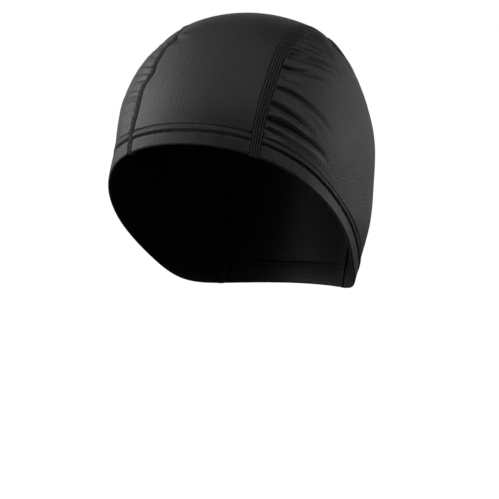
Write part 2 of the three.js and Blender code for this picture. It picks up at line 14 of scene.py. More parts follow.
import bpy
import numpy as np
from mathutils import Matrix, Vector


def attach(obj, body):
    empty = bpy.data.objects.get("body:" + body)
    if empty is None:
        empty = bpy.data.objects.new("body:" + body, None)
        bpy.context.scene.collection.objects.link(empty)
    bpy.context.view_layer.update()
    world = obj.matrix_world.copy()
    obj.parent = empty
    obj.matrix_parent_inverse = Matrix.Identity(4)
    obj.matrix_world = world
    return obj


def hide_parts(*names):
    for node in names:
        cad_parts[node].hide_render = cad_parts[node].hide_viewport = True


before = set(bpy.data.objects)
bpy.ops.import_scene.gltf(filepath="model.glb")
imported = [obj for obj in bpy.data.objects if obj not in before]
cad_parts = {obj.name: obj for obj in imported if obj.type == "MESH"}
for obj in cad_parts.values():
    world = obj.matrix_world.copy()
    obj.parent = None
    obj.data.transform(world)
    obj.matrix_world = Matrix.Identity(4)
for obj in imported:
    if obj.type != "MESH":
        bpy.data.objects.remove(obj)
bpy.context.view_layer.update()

MM = 0.001
# Height of the hem, how far its face stands off the form, and the cloth's thickness.
HEM_HEIGHT = 12.3 * MM
HEM_RISE = 0.42 * MM
WALL = 1.2 * MM

log = logging.getLogger("cap")

Array = np.ndarray


class Side(Enum):
    """Side of the cap as it is worn, by the sign of x."""

    LEFT = 1
    RIGHT = -1


class End(Enum):
    """End of the cap, by the angle about the vertical of its middle."""

    FRONT = -math.pi / 2
    BACK = math.pi / 2


def smooth_step(low: float, high: float, values: Array) -> Array:
    """Ease from 0 to 1 between two values.

    Args:
        low: Value at which the ease leaves 0.
        high: Value at which it reaches 1.
        values: Where to work it out.

    Returns:
        The share t squared times (3 - 2t), with t the clamped share of the way.
    """
    share = np.clip((values - low) / (high - low), 0.0, 1.0)
    return share * share * (3.0 - 2.0 * share)


def unit(vectors: Array) -> Array:
    """Scale the vectors along the last axis to length one."""
    return vectors / np.maximum(np.linalg.norm(vectors, axis=-1, keepdims=True), 1e-12)


# Ranges of a ripple's wavelengths and heights, as shares of their mean, and of its phases.
WAVE_SHARES = (0.6, 1.8)
HEIGHT_SHARES = (0.5, 1.0)
PHASES = (0.0, 6.28)


def ripple(values: Array, wave: float, seed: int, count: int = 7) -> Array:
    """Make an uneven ripple that never repeats.

    Args:
        values: Places along the ripple, in the units of wave.
        wave: Mean wavelength.
        seed: Seed of the wavelengths, phases and heights.
        count: Number of sines.

    Returns:
        A sum of sines whose wavelengths lie from 0.6 to 1.8 times the mean, near -1 to 1.
    """
    chance = np.random.default_rng(seed)
    total = np.zeros_like(values)
    for _ in range(count):
        turn = 2 * np.pi / (wave * chance.uniform(*WAVE_SHARES))
        height, phase = chance.uniform(*HEIGHT_SHARES), chance.uniform(*PHASES)
        total = total + height * np.sin(turn * values + phase)
    return total / math.sqrt(count)


def zero_between(measure: Callable[[Array], Array], low: Array, high: Array,
                 steps: int = 15) -> Array:
    """Find where a rising measure passes through zero, for a whole array at once.

    Args:
        measure: The measure of an array of values.
        low: Values at which it is negative.
        high: Values at which it is positive.
        steps: Number of tries.

    Returns:
        The zeros, by false position with the stale end's weight halved.
    """
    below, above = measure(low), measure(high)
    for _ in range(steps):
        gap = above - below
        value = np.where(gap > 0, (low * above - high * below) / np.where(gap > 0, gap, 1.0), low)
        found = measure(value)
        short = found < 0
        low, high = np.where(short, value, low), np.where(short, high, value)
        below, above = np.where(short, found, below / 2), np.where(short, above / 2, found)
    return value


class SmoothCurves:
    """Natural cubic curves through a few points each, at shared places."""

    def __init__(self, xs: Array, ys: Array) -> None:
        """Solve the curves' bends so that slope and bend run on through each point.

        Args:
            xs: Rising places of the points.
            ys: Heights of the points, one column for each curve.
        """
        self.xs, self.ys = xs, ys
        steps = np.diff(xs)
        slopes = np.diff(ys, axis=0) / steps[:, None]
        system = np.eye(len(xs))
        kinks = np.zeros_like(ys)
        inner = np.arange(1, len(xs) - 1)
        system[inner, inner - 1] = steps[:-1]
        system[inner, inner] = 2 * (steps[:-1] + steps[1:])
        system[inner, inner + 1] = steps[1:]
        kinks[inner] = 6 * np.diff(slopes, axis=0)
        self.bends = np.linalg.solve(system, kinks)

    def __call__(self, at: Array) -> Array:
        """Work out the curves' heights.

        Args:
            at: Where to work them out.

        Returns:
            The heights, on a new last axis: the straight line between the two nearest points,
            plus the cubic that has their bends and is zero at both.
        """
        i = np.clip(np.searchsorted(self.xs, at) - 1, 0, len(self.xs) - 2)
        step = (self.xs[i + 1] - self.xs[i])[..., None]
        q = (at - self.xs[i])[..., None] / step
        p = 1 - q
        bend = (p**3 - p) * self.bends[i] + (q**3 - q) * self.bends[i + 1]
        return p * self.ys[i] + q * self.ys[i + 1] + bend * step * step / 6


@dataclass(frozen=True)
class Level:
    """Reach of the form at one level, as shares of its depth, half width, front and back reach."""

    depth: float
    side: float
    front: float
    back: float


LEVELS = (
    Level(0.0, 0.0, 0.0, 0.0),
    Level(0.067, 0.595, 0.419, 0.432),
    Level(0.167, 0.808, 0.647, 0.659),
    Level(0.306, 0.935, 0.881, 0.847),
    Level(0.444, 0.996, 0.984, 0.964),
    Level(0.583, 0.984, 1.02, 1.0),
    Level(0.722, 0.955, 1.0, 0.978),
    Level(0.861, 0.868, 0.984, 0.911),
    Level(1.0, 0.787, 0.949, 0.814),
)


@dataclass(frozen=True)
class Hollow:
    """A hollow where the worn cloth sags, or a swell if its depth is negative, in millimetres."""

    x: float
    y: float
    z: float
    radius: float
    depth: float


HOLLOWS = (
    Hollow(53.0, 10.0, -19.0, 11.0, 2.3),
    Hollow(-43.0, -25.0, -15.0, 14.0, 2.9),
    Hollow(-64.0, -57.0, -77.0, 16.0, 3.2),
    Hollow(-26.5, -39.0, -12.4, 4.0, -0.9),
    Hollow(-26.0, -43.5, -14.8, 4.0, 0.7),
)


@dataclass
class CapForm:
    """The smooth outer form that every piece of the cap lies on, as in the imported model."""

    width: float = 153 * MM
    front_reach: float = 99 * MM
    back_reach: float = 97 * MM
    depth: float = 180 * MM
    back_breadth: float = 0.03
    corner_fullness: float = 0.02
    front_fullness: float = 0.043
    front_depth: float = 76 * MM
    back_depth: float = 174 * MM
    level_from: float = 34 * MM
    level_rounding: float = 10 * MM
    crown_top: float = 1.2 * MM
    core_level: float = 0.39
    spacing_front: float = 80.6 * MM
    spacing_back: float = 84 * MM
    temple: float = math.radians(-134)
    temple_rise: float = 0.5
    temple_spread: float = math.radians(14)
    stride: float = 0.01
    probe: float = 0.005 * MM
    tries: int = 9

    def __post_init__(self) -> None:
        """Make the curves of squared reach over depth, and the core."""
        shares = np.array([[row.depth, row.side, row.front, row.back] for row in LEVELS])
        reaches = shares[:, 1:] * [self.width / 2, self.front_reach, self.back_reach]
        self.squares = SmoothCurves(shares[:, 0] * self.depth, reaches**2)
        self.core = np.array([0.0, 0.0, self.crown_top - self.core_level * self.depth])

    def squared_reach(self, depth: Array, x: Array, y: Array) -> Array:
        """Square of the distance from the vertical axis to the form.

        Args:
            depth: Depth below the crown's top.
            x: Direction's part across the cap, of any scale.
            y: Direction's part along the cap, to the same scale.

        Returns:
            An oval's squared radius, fuller between its axes by a share of the squared sine of
            twice the angle.
        """
        scale = np.maximum(np.hypot(x, y), 1e-12)
        turn, cross = y / scale, x / scale
        squares = self.squares(np.clip(depth, 0.0, self.depth))
        side = squares[..., 0] * (1 + self.back_breadth * turn)
        mean = (squares[..., 2] + squares[..., 1]) / 2
        length = mean + (squares[..., 2] - squares[..., 1]) / 2 * turn
        oval = side * length / np.maximum(cross**2 * length + turn**2 * side, 1e-12)
        fullness = self.corner_fullness - self.front_fullness * turn
        return oval * (1 + fullness * 4 * turn**2 * cross**2) ** 2

    def outside(self, x: Array, y: Array, z: Array) -> Array:
        """How far a point lies outside the form, as a difference of squares."""
        over = np.maximum(z - self.crown_top, 0.0)
        return x * x + y * y + over * over - self.squared_reach(self.crown_top - z, x, y)

    def onto(self, points: Array) -> Array:
        """Move points along rays from the core until they lie on the form.

        Args:
            points: Points off the core, on the last axis.

        Returns:
            The form's points in the same directions.
        """
        rays = unit(points - self.core)
        x, y, z = rays[..., 0], rays[..., 1], rays[..., 2]
        near, far = self.span(rays.shape[:-1])
        at = zero_between(lambda d: self.outside(x * d, y * d, self.core[2] + z * d), near, far)
        return self.core + rays * at[..., None]

    def span(self, shape: tuple[int, ...]) -> tuple[Array, Array]:
        """Distances from the core between which the form always lies."""
        return np.full(shape, self.width / 8), np.full(shape, self.front_reach + self.depth / 2)

    def outward(self, points: Array) -> Array:
        """Which way is out.

        Args:
            points: Points on or near the form.

        Returns:
            Unit normals of the form, the steepest rise of the difference of squares.
        """
        x, y, z = points[..., 0], points[..., 1], points[..., 2]
        step = self.probe
        return unit(np.stack([
            self.outside(x + step, y, z) - self.outside(x - step, y, z),
            self.outside(x, y + step, z) - self.outside(x, y - step, z),
            self.outside(x, y, z + step) - self.outside(x, y, z - step),
        ], -1))

    def hem_depth(self, y: Array) -> Array:
        """Depth of the hem edge.

        Args:
            y: Places along the cap.

        Returns:
            The depths, on an even slope that levels off softly toward the nape.
        """
        slope = (self.back_depth - self.front_depth) / (self.front_reach + self.level_from)
        ahead = (self.level_from - y) / self.level_rounding
        return self.back_depth - slope * self.level_rounding * np.logaddexp(0.0, ahead)

    def hem_edge(self, angle: Array) -> Array:
        """Points of the hem edge.

        Args:
            angle: Angles about the vertical.

        Returns:
            The points where the form's depth there is the hem edge's depth.
        """
        x, y = np.cos(angle), np.sin(angle)
        near, far = np.full_like(angle, self.depth / 4), np.full_like(angle, self.depth)
        depth = zero_between(
            lambda d: d - self.hem_depth(np.sqrt(self.squared_reach(d, x, y)) * y), near, far)
        reach = np.sqrt(self.squared_reach(depth, x, y))
        return np.stack([reach * x, reach * y, self.crown_top - depth], -1)

    def raised(self, points: Array, height: Array) -> Array:
        """Lift points off the form.

        Args:
            points: Points on the form.
            height: How far each is lifted.

        Returns:
            The points moved along their normals by the height, less the hollows' depths there,
            each hollow a bell about its middle.
        """
        for hollow in HOLLOWS:
            middle = np.array([hollow.x, hollow.y, hollow.z]) * MM
            away = np.linalg.norm(points - middle, axis=-1) / (hollow.radius * MM)
            height = height - hollow.depth * MM * np.exp(-(away**2))
        return points + self.outward(points) * np.asarray(height)[..., None]

    def hem_line(self, angle: Array, height: Array) -> Array:
        """Points of the form that lie a height above the hem edge, square to it.

        Args:
            angle: Angles about the vertical.
            height: Heights, which a bell about the right temple stretches there.

        Returns:
            The points.
        """
        off = np.arctan2(np.sin(angle - self.temple), np.cos(angle - self.temple))
        height = height * (1 + self.temple_rise * np.exp(-((off / self.temple_spread) ** 2)))
        edge = self.hem_edge(angle)
        forward = unit(self.hem_edge(angle + self.stride) - self.hem_edge(angle - self.stride))
        upward = unit(np.cross(self.outward(edge), forward))
        return self.onto(edge + upward * np.asarray(height)[..., None])

    def hem_angle(self, x: Array, height: Array, end: End) -> Array:
        """Angle at which hem lines stand at distances from the middle.

        Args:
            x: Places across the cap, with their sign.
            height: Heights of the hem lines above the edge.
            end: The end of the cap to look at.

        Returns:
            One angle for each place and height, each try turning the last angle by the miss
            across over the reach along the cap.
        """
        x, height = np.broadcast_arrays(np.asarray(x, float), np.asarray(height, float))
        turn = math.copysign(1.0, end.value)
        away = np.zeros(x.shape)
        for _ in range(self.tries):
            point = self.hem_line(end.value - turn * away, height)
            away = away + (x - point[..., 0]) / np.abs(point[..., 1])
        return end.value - turn * away

    def seam_offset(self, share: Array) -> Array:
        """Half the space between the seams at shares of the way from front hem to back hem."""
        return (self.spacing_front + (self.spacing_back - self.spacing_front) * share) / 2

    def course_point(self, angle: Array, x: Array) -> Array:
        """Points of the form at places across it.

        Args:
            angle: Angles about the core's cross axis.
            x: Places across the cap, with their sign.

        Returns:
            The points where rays off the cross axis meet the form.
        """
        angle, x = np.broadcast_arrays(angle, x)
        y, z = -np.cos(angle), np.sin(angle)
        near, far = self.span(angle.shape)
        at = zero_between(lambda d: self.outside(x, y * d, self.core[2] + z * d), near, far)
        return np.stack([x, y * at, self.core[2] + z * at], -1)

    def course_angle(self, points: Array) -> Array:
        """Angles of points about the core's cross axis, rising from the front over the top."""
        angle = np.arctan2(points[..., 2] - self.core[2], -points[..., 1])
        return np.where(angle < -math.pi / 2, angle + 2 * math.pi, angle)

    def hem_run(self, start: float, stop: float, height: float) -> Callable[[Array], Array]:
        """Lay out a stretch of a hem line.

        Args:
            start: Angle about the vertical at which it starts.
            stop: Angle at which it stops.
            height: Height above the hem edge.

        Returns:
            The stretch, as a function of the share of the way.
        """

        def run(share: Array) -> Array:
            """Points of the stretch at shares of the way."""
            angle = start + (stop - start) * np.asarray(share, float)
            return self.hem_line(angle, np.full_like(angle, height))

        return run

    def fill(self, near: Callable, far: Callable, start: Callable, end: Callable,
             rows: Array, columns: Array) -> Array:
        """Fill four border lines with a grid of points on the form.

        Args:
            near: Border along the rows at the first column.
            far: Border along the rows at the last column.
            start: Border along the columns at the first row.
            end: Border along the columns at the last row.
            rows: Shares of the way along near and far.
            columns: Shares of the way along start and end.

        Returns:
            The borders blended two and two, less the blend of the corners, moved onto the form.
        """
        s, t = rows[:, None, None], columns[None, :, None]
        ends = np.array([0.0, 1.0])
        near_ends, far_ends = near(ends), far(ends)
        along = near(rows)[:, None] * (1 - t) + far(rows)[:, None] * t
        across = start(columns)[None] * (1 - s) + end(columns)[None] * s
        corners = (near_ends[0] * (1 - s) + near_ends[1] * s) * (1 - t)
        corners = corners + (far_ends[0] * (1 - s) + far_ends[1] * s) * t
        return self.onto(along + across - corners)


@dataclass(frozen=True)
class Sway:
    """Sideways sway of a seam at a share of its length, as a share of the seams' spacing."""

    at: float
    sway: float


LEFT_SWAY = (
    Sway(0.0, -0.008), Sway(0.042, 0.0), Sway(0.135, 0.004), Sway(0.25, -0.002),
    Sway(0.29, 0.006), Sway(0.335, 0.0), Sway(0.45, 0.004), Sway(0.6, -0.005),
    Sway(0.75, 0.005), Sway(0.9, -0.003), Sway(1.0, 0.0),
)

RIGHT_SWAY = (
    Sway(0.0, -0.024), Sway(0.02, -0.016), Sway(0.038, -0.009), Sway(0.055, -0.019),
    Sway(0.075, -0.025), Sway(0.1, -0.016), Sway(0.127, -0.026), Sway(0.151, -0.062),
    Sway(0.173, -0.052), Sway(0.195, -0.066), Sway(0.22, -0.075), Sway(0.247, -0.126),
    Sway(0.268, -0.11), Sway(0.295, -0.086), Sway(0.36, -0.046), Sway(0.46, -0.012),
    Sway(0.6, 0.006), Sway(0.8, -0.005), Sway(1.0, 0.0),
)


@dataclass
class SeamCourse:
    """A seam's course over the form, from hem edge to hem edge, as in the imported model.

    The right seam is rolled under, and shows only part of its width.
    """

    form: CapForm
    side: Side
    full_width: float = 6.3 * MM
    rolled_width: float = 3.9 * MM
    gap: float = 0.06 * MM
    steps: int = 40
    tries: int = 10

    def __post_init__(self) -> None:
        """Find where the seam crosses the hem edge, and how its widths narrow across the cap."""
        form = self.form
        self.width = self.full_width if self.side is Side.LEFT else self.rolled_width
        self.panel_edge = self.width / 2 + self.gap
        rows = LEFT_SWAY if self.side is Side.LEFT else RIGHT_SWAY
        shares = np.array([row.at for row in rows])
        sways = np.array([[row.sway] for row in rows]) * form.spacing_front
        self.sway = SmoothCurves(shares, sways)
        self.first = self.crossing(0.0, End.FRONT)
        self.last = self.crossing(1.0, End.BACK)
        share = np.linspace(0, 1, self.steps + 1)
        middles = form.course_point(self.angle(share), self.side.value * self.middle(share))
        narrowing = np.sqrt(1 - form.outward(middles)[:, :1] ** 2)
        self.narrowing = SmoothCurves(share, narrowing)

    def crossing(self, share: float, end: End) -> float:
        """Find where the seam, before its sway, crosses the hem edge.

        Args:
            share: Share of the seam at that end.
            end: Front or back.

        Returns:
            The crossing's angle about the core's cross axis.
        """
        x = self.side.value * self.form.seam_offset(share)
        angle = self.form.hem_angle(x, 0.0, end)
        return float(self.form.course_angle(self.form.hem_line(angle, np.zeros(()))))

    def angle(self, share: Array) -> Array:
        """Angle about the core's cross axis at shares of the seam."""
        return self.first + (self.last - self.first) * share

    def middle(self, share: Array) -> Array:
        """Distance of the seam's middle from the cap's middle."""
        return self.form.seam_offset(share) + self.sway(np.clip(share, 0.0, 1.0))[..., 0]

    def across(self, share: Array, off: Array) -> Array:
        """Place across the cap of lines at distances off the seam's middle."""
        return self.side.value * (self.middle(share) + off * self.narrowing(share)[..., 0])

    def points(self, share: Array, off: Array) -> Array:
        """Points of the form at shares of the seam and distances off its middle."""
        share, off = np.broadcast_arrays(np.asarray(share, float), np.asarray(off, float))
        return self.form.course_point(self.angle(share), self.across(share, off))

    def foot(self, off: Array, height: Array, end: End) -> tuple[Array, Array]:
        """Where lines beside the seam meet hem lines.

        Args:
            off: Distances off the seam's middle.
            height: Heights of the hem lines.
            end: Front or back.

        Returns:
            The shares of the seam there, and the angles about the vertical. Each try turns the
            last angle by the miss across over the reach along the cap.
        """
        off, height = np.broadcast_arrays(np.asarray(off, float), np.asarray(height, float))
        share = np.full(off.shape, 0.0 if end is End.FRONT else 1.0)
        turn = math.copysign(1.0, end.value)
        away = np.zeros(off.shape)
        for _ in range(self.tries):
            met = self.form.hem_line(end.value - turn * away, height)
            away = away + (self.across(share, off) - met[..., 0]) / np.abs(met[..., 1])
            share = (self.form.course_angle(met) - self.first) / (self.last - self.first)
        return share, end.value - turn * away

    def line(self, off: float, height: float) -> Callable[[Array], Array]:
        """Lay out a line beside the seam, between the hem lines of one height.

        Args:
            off: Distance off the seam's middle.
            height: Height of the hem lines.

        Returns:
            The line, as a function of the share of the way.
        """
        start, _ = self.foot(off, height, End.FRONT)
        stop, _ = self.foot(off, height, End.BACK)
        return lambda share: self.points(start + (stop - start) * share, off)


def line_lengths(points: Array) -> Array:
    """Distance run along each line of points, counted along the first axis."""
    steps = np.linalg.norm(np.diff(points, axis=0), axis=-1)
    return np.concatenate([np.zeros((1, *steps.shape[1:])), np.cumsum(steps, axis=0)])


def make_piece(name: str, points: Array, faces: list[Array], places: Array) -> bpy.types.Object:
    """Put a closed mesh of quads and lids into the scene, facing out.

    Args:
        name: Name of the piece.
        points: Its points, one row each.
        faces: Arrays of faces, one row of point numbers each.
        places: Place of each point in the cloth's own plane, in metres, for its weave.

    Returns:
        The new object, at the origin.
    """
    quads = faces[0]
    a, b, c, d = (points[quads[:, k]] for k in range(4))
    volume = np.einsum("ij,ij->", a, np.cross(b, c)) + np.einsum("ij,ij->", a, np.cross(c, d))
    if volume < 0:
        faces = [rows[:, ::-1] for rows in faces]
    mesh = bpy.data.meshes.new(name)
    mesh.from_pydata(points, [], [row for rows in faces for row in rows.tolist()])
    corners = np.empty(len(mesh.loops), dtype=np.int32)
    mesh.loops.foreach_get("vertex_index", corners)
    layer = mesh.uv_layers.new(name="cloth")
    layer.data.foreach_set("uv", places[corners].astype(np.float32).ravel())
    mesh.shade_smooth()
    mesh.update()
    piece = bpy.data.objects.new(name, mesh)
    bpy.context.scene.collection.objects.link(piece)
    return piece


def make_wall(name: str, outer: Array, inner: Array, places: Array) -> bpy.types.Object:
    """Close an outer and an inner grid round their border into one wall.

    Args:
        name: Name of the piece.
        outer: Grid of the outer face's points.
        inner: Grid of the inner face's points.
        places: Grid of places in the cloth's own plane.

    Returns:
        The new object.
    """
    rows, columns = outer.shape[:2]
    index = np.arange(rows * columns).reshape(rows, columns)
    front = np.stack([index[:-1, :-1], index[1:, :-1], index[1:, 1:], index[:-1, 1:]], -1)
    front = front.reshape(-1, 4)
    back = front[:, ::-1] + index.size
    ring = np.concatenate([index[:-1, 0], index[-1, :-1], index[:0:-1, -1], index[0, :0:-1]])
    after = np.roll(ring, -1)
    border = np.stack([after, ring, ring + index.size, after + index.size], -1)
    points = np.concatenate([outer.reshape(-1, 3), inner.reshape(-1, 3)])
    flat = np.concatenate([places.reshape(-1, 2)] * 2)
    return make_piece(name, points, [np.concatenate([front, back, border])], flat)


def make_bar(name: str, stations: Array, places: Array) -> bpy.types.Object:
    """Join the closed sections of a bar from station to station, with flat lids.

    Args:
        name: Name of the piece.
        stations: Points of each section, by station and by place round the section.
        places: Places in the cloth's own plane, in the same layout.

    Returns:
        The new object.
    """
    count, size = stations.shape[:2]
    index = np.arange(count * size).reshape(count, size)
    after = np.roll(index, -1, axis=1)
    sides = np.stack([index[:-1], after[:-1], after[1:], index[1:]], -1).reshape(-1, 4)
    lids = np.stack([index[0, ::-1], index[-1]])
    return make_piece(name, stations.reshape(-1, 3), [sides, lids], places.reshape(-1, 2))


# A thread's ring of points, the two quads that close it, and how narrow it ends.
THREAD_SIDES = 6
LID_CORNERS = np.array([[0, 1, 2, 3], [0, 3, 4, 5]])
THREAD_TIP = 0.05


def make_threads(name: str, paths: list[Array], outward: list[Array],
                 radius: float) -> bpy.types.Object:
    """Make round threads along paths, all in one piece.

    Args:
        name: Name of the piece.
        paths: Points of each thread's middle.
        outward: Unit vectors off the cloth at those points.
        radius: Radius of the thread.

    Returns:
        The new object, each thread a ring of six points carried along its path, narrowed and
        closed at both ends.
    """
    turn = np.arange(THREAD_SIDES) * 2 * np.pi / THREAD_SIDES
    points, quads, places, start = [], [], [], 0
    for path, up in zip(paths, outward):
        forward = unit(np.gradient(path, axis=0))
        across = unit(np.cross(forward, up))
        lift = np.cross(across, forward)
        swing = across[:, None] * np.cos(turn)[:, None] + lift[:, None] * np.sin(turn)[:, None]
        scale = np.ones(len(path))
        scale[[0, -1]] = THREAD_TIP
        tube = path[:, None] + swing * (radius * scale)[:, None, None]
        index = start + np.arange(tube[..., 0].size).reshape(tube.shape[:2])
        after = np.roll(index, -1, axis=1)
        quads.append(np.stack([index[:-1], after[:-1], after[1:], index[1:]], -1).reshape(-1, 4))
        quads += [lid[LID_CORNERS] for lid in (index[0, ::-1], index[-1])]
        run = line_lengths(path)
        places.append(np.stack(np.broadcast_arrays(run[:, None], turn * radius), -1))
        points.append(tube.reshape(-1, 3))
        start += tube[..., 0].size
    flat = np.concatenate([place.reshape(-1, 2) for place in places])
    return make_piece(name, np.concatenate(points), [np.concatenate(quads)], flat)


# Radians to the metre that Blender's wave makes at scale one.
WAVE_RATE = 20


@dataclass(frozen=True)
class Finish:
    """A dark cloth or thread, patterned on the piece's own cloth places.

    Its shading runs from dark to light, as shares of its colour.
    """

    name: str
    colour: tuple[float, float, float]
    roughness: float = 0.5
    specular: float = 0.5
    sheen: float = 0.06
    dark: float = 0.3
    light: float = 1.7
    wander_detail: float = 2.0
    wander_scale: float = 1.4

    def begin(self) -> tuple[bpy.types.Material, bpy.types.Node, bpy.types.NodeSocket]:
        """Start the node material.

        Returns:
            The material, its shader with gloss and sheen set, and the socket of cloth places.
        """
        made = bpy.data.materials.new(self.name)
        made.use_nodes = True
        shader = made.node_tree.nodes["Principled BSDF"]
        shader.inputs["Roughness"].default_value = self.roughness
        shader.inputs["Specular IOR Level"].default_value = self.specular
        shader.inputs["Sheen Weight"].default_value = self.sheen
        cloth = made.node_tree.nodes.new("ShaderNodeUVMap")
        cloth.uv_map = "cloth"
        return made, shader, cloth.outputs["UV"]

    def shade(self, made: bpy.types.Material, pattern: bpy.types.NodeSocket,
              shader: bpy.types.Node, low: float = 0.0, high: float = 1.0) -> None:
        """Colour the shader by a pattern, from dark to light between two of its values.

        Args:
            made: The material to add to.
            pattern: The pattern.
            shader: The shader to colour.
            low: Value of the pattern that is dark.
            high: Value of the pattern that is light.
        """
        ramp = made.node_tree.nodes.new("ShaderNodeValToRGB")
        stops = zip(ramp.color_ramp.elements, (low, high), (self.dark, self.light))
        for stop, value, share in stops:
            stop.position = value
            stop.color = (*[part * share for part in self.colour], 1.0)
        made.node_tree.links.new(pattern, ramp.inputs["Fac"])
        made.node_tree.links.new(ramp.outputs["Color"], shader.inputs["Base Color"])

    def relief(self, made: bpy.types.Material, height: bpy.types.NodeSocket, strength: float,
               distance: float, under: bpy.types.NodeSocket | None = None
               ) -> bpy.types.NodeSocket:
        """Add one layer of relief.

        Args:
            made: The material to add to.
            height: The relief's height.
            strength: Its strength.
            distance: Its full height in metres.
            under: Normal of the layer below, if any.

        Returns:
            The socket that holds the bent normal.
        """
        bump = made.node_tree.nodes.new("ShaderNodeBump")
        bump.inputs["Strength"].default_value = strength
        bump.inputs["Distance"].default_value = distance
        made.node_tree.links.new(height, bump.inputs["Height"])
        if under is not None:
            made.node_tree.links.new(under, bump.inputs["Normal"])
        return bump.outputs["Normal"]

    def ridges(self, made: bpy.types.Material, cloth: bpy.types.NodeSocket, width: float,
               turn: float, wander: float = 0.0) -> bpy.types.NodeSocket:
        """Add one set of ridges.

        Args:
            made: The material to add to.
            cloth: The socket of cloth places.
            width: The ridges' spacing over two pi.
            turn: Their direction in the cloth's plane.
            wander: How far they wander off a straight line.

        Returns:
            The socket that holds their height, a sine across the ridges.
        """
        nodes, links = made.node_tree.nodes, made.node_tree.links
        placed = nodes.new("ShaderNodeMapping")
        placed.inputs["Rotation"].default_value = (0.0, 0.0, turn)
        links.new(cloth, placed.inputs["Vector"])
        wave = nodes.new("ShaderNodeTexWave")
        wave.inputs["Scale"].default_value = 1 / (width * WAVE_RATE)
        wave.inputs["Distortion"].default_value = wander
        wave.inputs["Detail"].default_value = self.wander_detail
        wave.inputs["Detail Scale"].default_value = self.wander_scale
        links.new(placed.outputs["Vector"], wave.inputs["Vector"])
        return wave.outputs["Fac"]


@dataclass(frozen=True)
class KnitFinish(Finish):
    """Smooth stretch knit: faint ribs both ways, an uneven grain and a soft sheen."""

    sheen_roughness: float = 0.45
    wale: float = 0.5 * MM
    course: float = 0.4 * MM
    wander: float = 2.2
    fine_bump: float = 0.64
    fine_relief: float = 0.08 * MM
    grain: float = 1.0 * MM
    grain_detail: float = 4.0
    grain_low: float = 0.3
    grain_high: float = 0.7
    grain_bump: float = 0.8
    grain_relief: float = 0.32 * MM
    mottle: float = 22 * MM
    mottle_detail: float = 2.0
    uneven: float = 0.05

    def material(self) -> bpy.types.Material:
        """Make the node material: the grain shades it and lies in relief over the ribs."""
        made, shader, cloth = self.begin()
        nodes, links = made.node_tree.nodes, made.node_tree.links
        shader.inputs["Sheen Roughness"].default_value = self.sheen_roughness
        wales = self.ridges(made, cloth, self.wale, 0.0, self.wander)
        courses = self.ridges(made, cloth, self.course, math.pi / 2, self.wander)
        grain = self.noise(made, cloth, self.grain, self.grain_detail)
        mottle = self.noise(made, cloth, self.mottle, self.mottle_detail)
        self.shade(made, grain, shader, self.grain_low, self.grain_high)
        rough = nodes.new("ShaderNodeMapRange")
        rough.inputs["To Min"].default_value = self.roughness - self.uneven
        rough.inputs["To Max"].default_value = self.roughness + self.uneven
        links.new(mottle, rough.inputs["Value"])
        links.new(rough.outputs["Result"], shader.inputs["Roughness"])
        weave = nodes.new("ShaderNodeMath")
        weave.operation = "MULTIPLY"
        links.new(wales, weave.inputs[0])
        links.new(courses, weave.inputs[1])
        fine = self.relief(made, weave.outputs["Value"], self.fine_bump, self.fine_relief)
        coarse = self.relief(made, grain, self.grain_bump, self.grain_relief, fine)
        links.new(coarse, shader.inputs["Normal"])
        return made

    def noise(self, made: bpy.types.Material, cloth: bpy.types.NodeSocket, size: float,
              detail: float) -> bpy.types.NodeSocket:
        """Add a noise on the cloth's places.

        Args:
            made: The material to add to.
            cloth: The socket of cloth places.
            size: Size of its patches.
            detail: Number of finer layers in it.

        Returns:
            The socket that holds it.
        """
        noise = made.node_tree.nodes.new("ShaderNodeTexNoise")
        noise.inputs["Scale"].default_value = 1 / size
        noise.inputs["Detail"].default_value = detail
        made.node_tree.links.new(cloth, noise.inputs["Vector"])
        return noise.outputs["Fac"]


@dataclass(frozen=True)
class ThreadFinish(Finish):
    """Twisted sewing thread: slanting plies and a faint shine."""

    specular: float = 0.35
    sheen: float = 0.2
    dark: float = 0.6
    light: float = 1.3
    ply: float = 0.5 * MM
    slant: float = math.radians(35)
    bump: float = 0.5
    ply_relief: float = 0.05 * MM

    def material(self) -> bpy.types.Material:
        """Make the node material: the plies shade it and stand in relief."""
        made, shader, cloth = self.begin()
        plies = self.ridges(made, cloth, self.ply, self.slant)
        self.shade(made, plies, shader)
        bent = self.relief(made, plies, self.bump, self.ply_relief)
        made.node_tree.links.new(bent, shader.inputs["Normal"])
        return made


PANEL_KNIT = KnitFinish("panel_knit", (0.016, 0.016, 0.018))
HEM_KNIT = KnitFinish("hem_knit", (0.015, 0.015, 0.017), roughness=0.54)
SEAM_KNIT = KnitFinish("seam_knit", (0.024, 0.0235, 0.03))
# Needle threads: a real black thread, coloured far darker than the cloth as painted shade of the
# grooves it lies in.
SEAM_THREAD_AND_GROOVE_SHADE = ThreadFinish("seam_thread", (0.003, 0.0028, 0.004), 0.8, specular=0.05, sheen=0.0)
# Hem needle thread: a real black thread, coloured far darker than the hem knit as painted shade of
# its stitched groove.
HEM_THREAD_AND_GROOVE_SHADE = ThreadFinish("hem_thread_and_groove_shade", (0.004, 0.004, 0.005), 0.7, specular=0.15, sheen=0.0)
HEM_COVER_THREAD = ThreadFinish("hem_cover_thread", (0.03, 0.03, 0.034))
# Seam cover thread: a real black thread, coloured twice as light as the cloth as a painted sheen,
# so its zigzag reads as light dashes.
COVER_THREAD_AND_SHEEN = ThreadFinish("cover_thread", (0.032, 0.031, 0.04))


def finish_piece(piece: bpy.types.Object, material: bpy.types.Material, slot: str,
                 *nodes: str) -> None:
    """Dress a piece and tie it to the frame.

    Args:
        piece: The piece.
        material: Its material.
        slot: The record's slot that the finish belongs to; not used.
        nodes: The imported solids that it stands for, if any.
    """
    piece.data.materials.append(material)
    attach(piece, "root")
    if nodes:
        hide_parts(*nodes)
    log.info("%s: %d faces", piece.name, len(piece.data.polygons))


